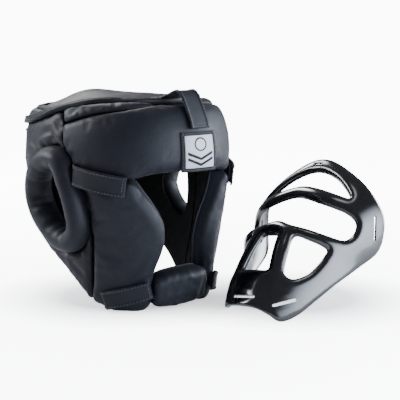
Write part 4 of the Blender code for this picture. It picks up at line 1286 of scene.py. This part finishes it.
SWEEP = (0.22, 1.1)  # metres from the middle of the floor over which it brightens
COOL_WHITE = (0.97, 0.985, 1.0, 1)
FLOOR_HALF, FLOOR_DROP = 6000.0, 0.3


def softbox(name, place, size, power, colour, core):
    """An area light aimed at the object, brightest in its middle and fading to its edges."""
    data = bpy.data.lights.new(name, "AREA")
    data.shape = "RECTANGLE"
    (data.size, data.size_y), data.energy, data.color = size, power, colour
    data.use_nodes = True
    tree = data.node_tree
    across = tree.nodes.new("ShaderNodeNewGeometry").outputs["Parametric"]
    offset = tree.nodes.new("ShaderNodeVectorMath")
    offset.operation = "DISTANCE"
    offset.inputs[1].default_value = (0.5, 0.5, 0)
    fade = tree.nodes.new("ShaderNodeMapRange")
    fade.interpolation_type = "SMOOTHSTEP"
    for key, value in (("From Min", 0.5), ("From Max", core), ("To Min", 0.0), ("To Max", 1.0)):
        fade.inputs[key].default_value = value
    tree.links.new(across, offset.inputs[0])
    tree.links.new(offset.outputs["Value"], fade.inputs["Value"])
    tree.links.new(fade.outputs["Result"], tree.nodes["Emission"].inputs["Strength"])
    made = linked(name, data)
    aimed(made, LIT_MIDDLE, *place)
    made.visible_camera = False


def studio():
    """A white sweep lit from the camera's right, from behind and from above."""
    for name, settings in SOFTBOXES.items():
        softbox(name, *settings)
    world = bpy.data.worlds.new("studio")
    bpy.context.scene.world = world
    world.use_nodes = True
    nodes, links = world.node_tree.nodes, world.node_tree.links
    nodes["Background"].inputs["Color"].default_value = COOL_WHITE
    seen = nodes.new("ShaderNodeLightPath")
    strength = nodes.new("ShaderNodeMapRange")
    strength.inputs["To Min"].default_value = ROOM_LIGHT
    strength.inputs["To Max"].default_value = BACKDROP_LIGHT
    links.new(seen.outputs["Is Camera Ray"], strength.inputs["Value"])
    links.new(strength.outputs["Result"], nodes["Background"].inputs["Strength"])


def floor():
    """A pale sweep that brightens into the backdrop away from the object, with painted contact shadows where
    its glow is held low round the places the objects rest.
    """
    n = Nodes("floor")
    colour = n.mixed(n.ranged(n.noise(3, 2.0), 0.3, 0.7, 0, 1), (0.86, 0.865, 0.87), (0.90, 0.90, 0.905))
    look = n.finish(colour, 0.65, n.bump(n.noise(180, 3.0), 0.05, 0.0008), Specular_IOR_Level=0.25,
                    Emission_Color=COOL_WHITE)

    def distance_from(x, y):
        node = n.add("ShaderNodeVectorMath", operation="DISTANCE")
        n.link(n.place, node.inputs[0])
        node.inputs[1].default_value = (x, y, 0)
        return node.outputs["Value"]

    glow = n.ranged(distance_from(0, 0), *SWEEP, FLOOR_GLOW, BACKDROP_LIGHT)
    # painted contact shadows: the camera-only glow is dimmed round where each object rests
    for contact in CONTACTS:
        lit = n.ranged(distance_from(*contact), *CONTACT_SHADOW_REACH, CONTACT_SHADOW_GLOW, 1.0)
        glow = n.math("MULTIPLY", glow, lit)
    seen = n.add("ShaderNodeLightPath").outputs["Is Camera Ray"]
    n.link(n.math("MULTIPLY", glow, seen), n.shader.inputs["Emission Strength"])
    corners = [(x * FLOOR_HALF, y * FLOOR_HALF, 0) for x, y in ((-1, -1), (1, -1), (1, 1), (-1, 1))]
    made = mesh_object("floor", corners, [(0, 1, 2, 3)], look, Matrix.Translation((0, 0, -FLOOR_DROP)))


# --- main ---
def main():
    camera()
    looks = make_materials()
    random = np.random.default_rng(7)
    pads = make_pads()
    for pad in pads:
        pad.shape(pads, random)
    rings = [Ring(side, random) for side in SIDES]
    puffed(pads + rings)
    for piece in pads + rings:
        piece.build(looks["leather"])
    for pad in pads:
        piping(pad, looks["piping"])
    knit = looks["lining"]
    lining("forehead", both_halves(FOREHEAD_HALF), PAD_BACK, knit)
    for side in SIDES:
        lining(f"cheek_{side}", turned(pattern(CHEEK), side), PAD_BACK, knit, [ring_outline(side)])
        hole = shifted(resampled(turned(pattern(EAR_RING), side), 6.0), EAR_HOLE_INSET)
        lining(f"side_{side}", turned(pattern(SIDE), side), PAD_BACK, knit, [hole])
    lining("occipital", both_halves(OCCIPITAL_HALF), PAD_BACK, knit)
    lining("crown_top", crown_outline(), CROWN_BACK, knit, surface=crown_surface)
    lining("chin_cup", pattern(CHIN_CUP), CHIN_BACK, knit, body="chin_cup")
    guard_straps(looks)
    crown_strap(looks)
    rear_strap(looks)
    crown_bindings(looks["strap"])
    stretch_panel(looks)
    label(looks)
    guard(looks)
    studio()
    floor()


main()
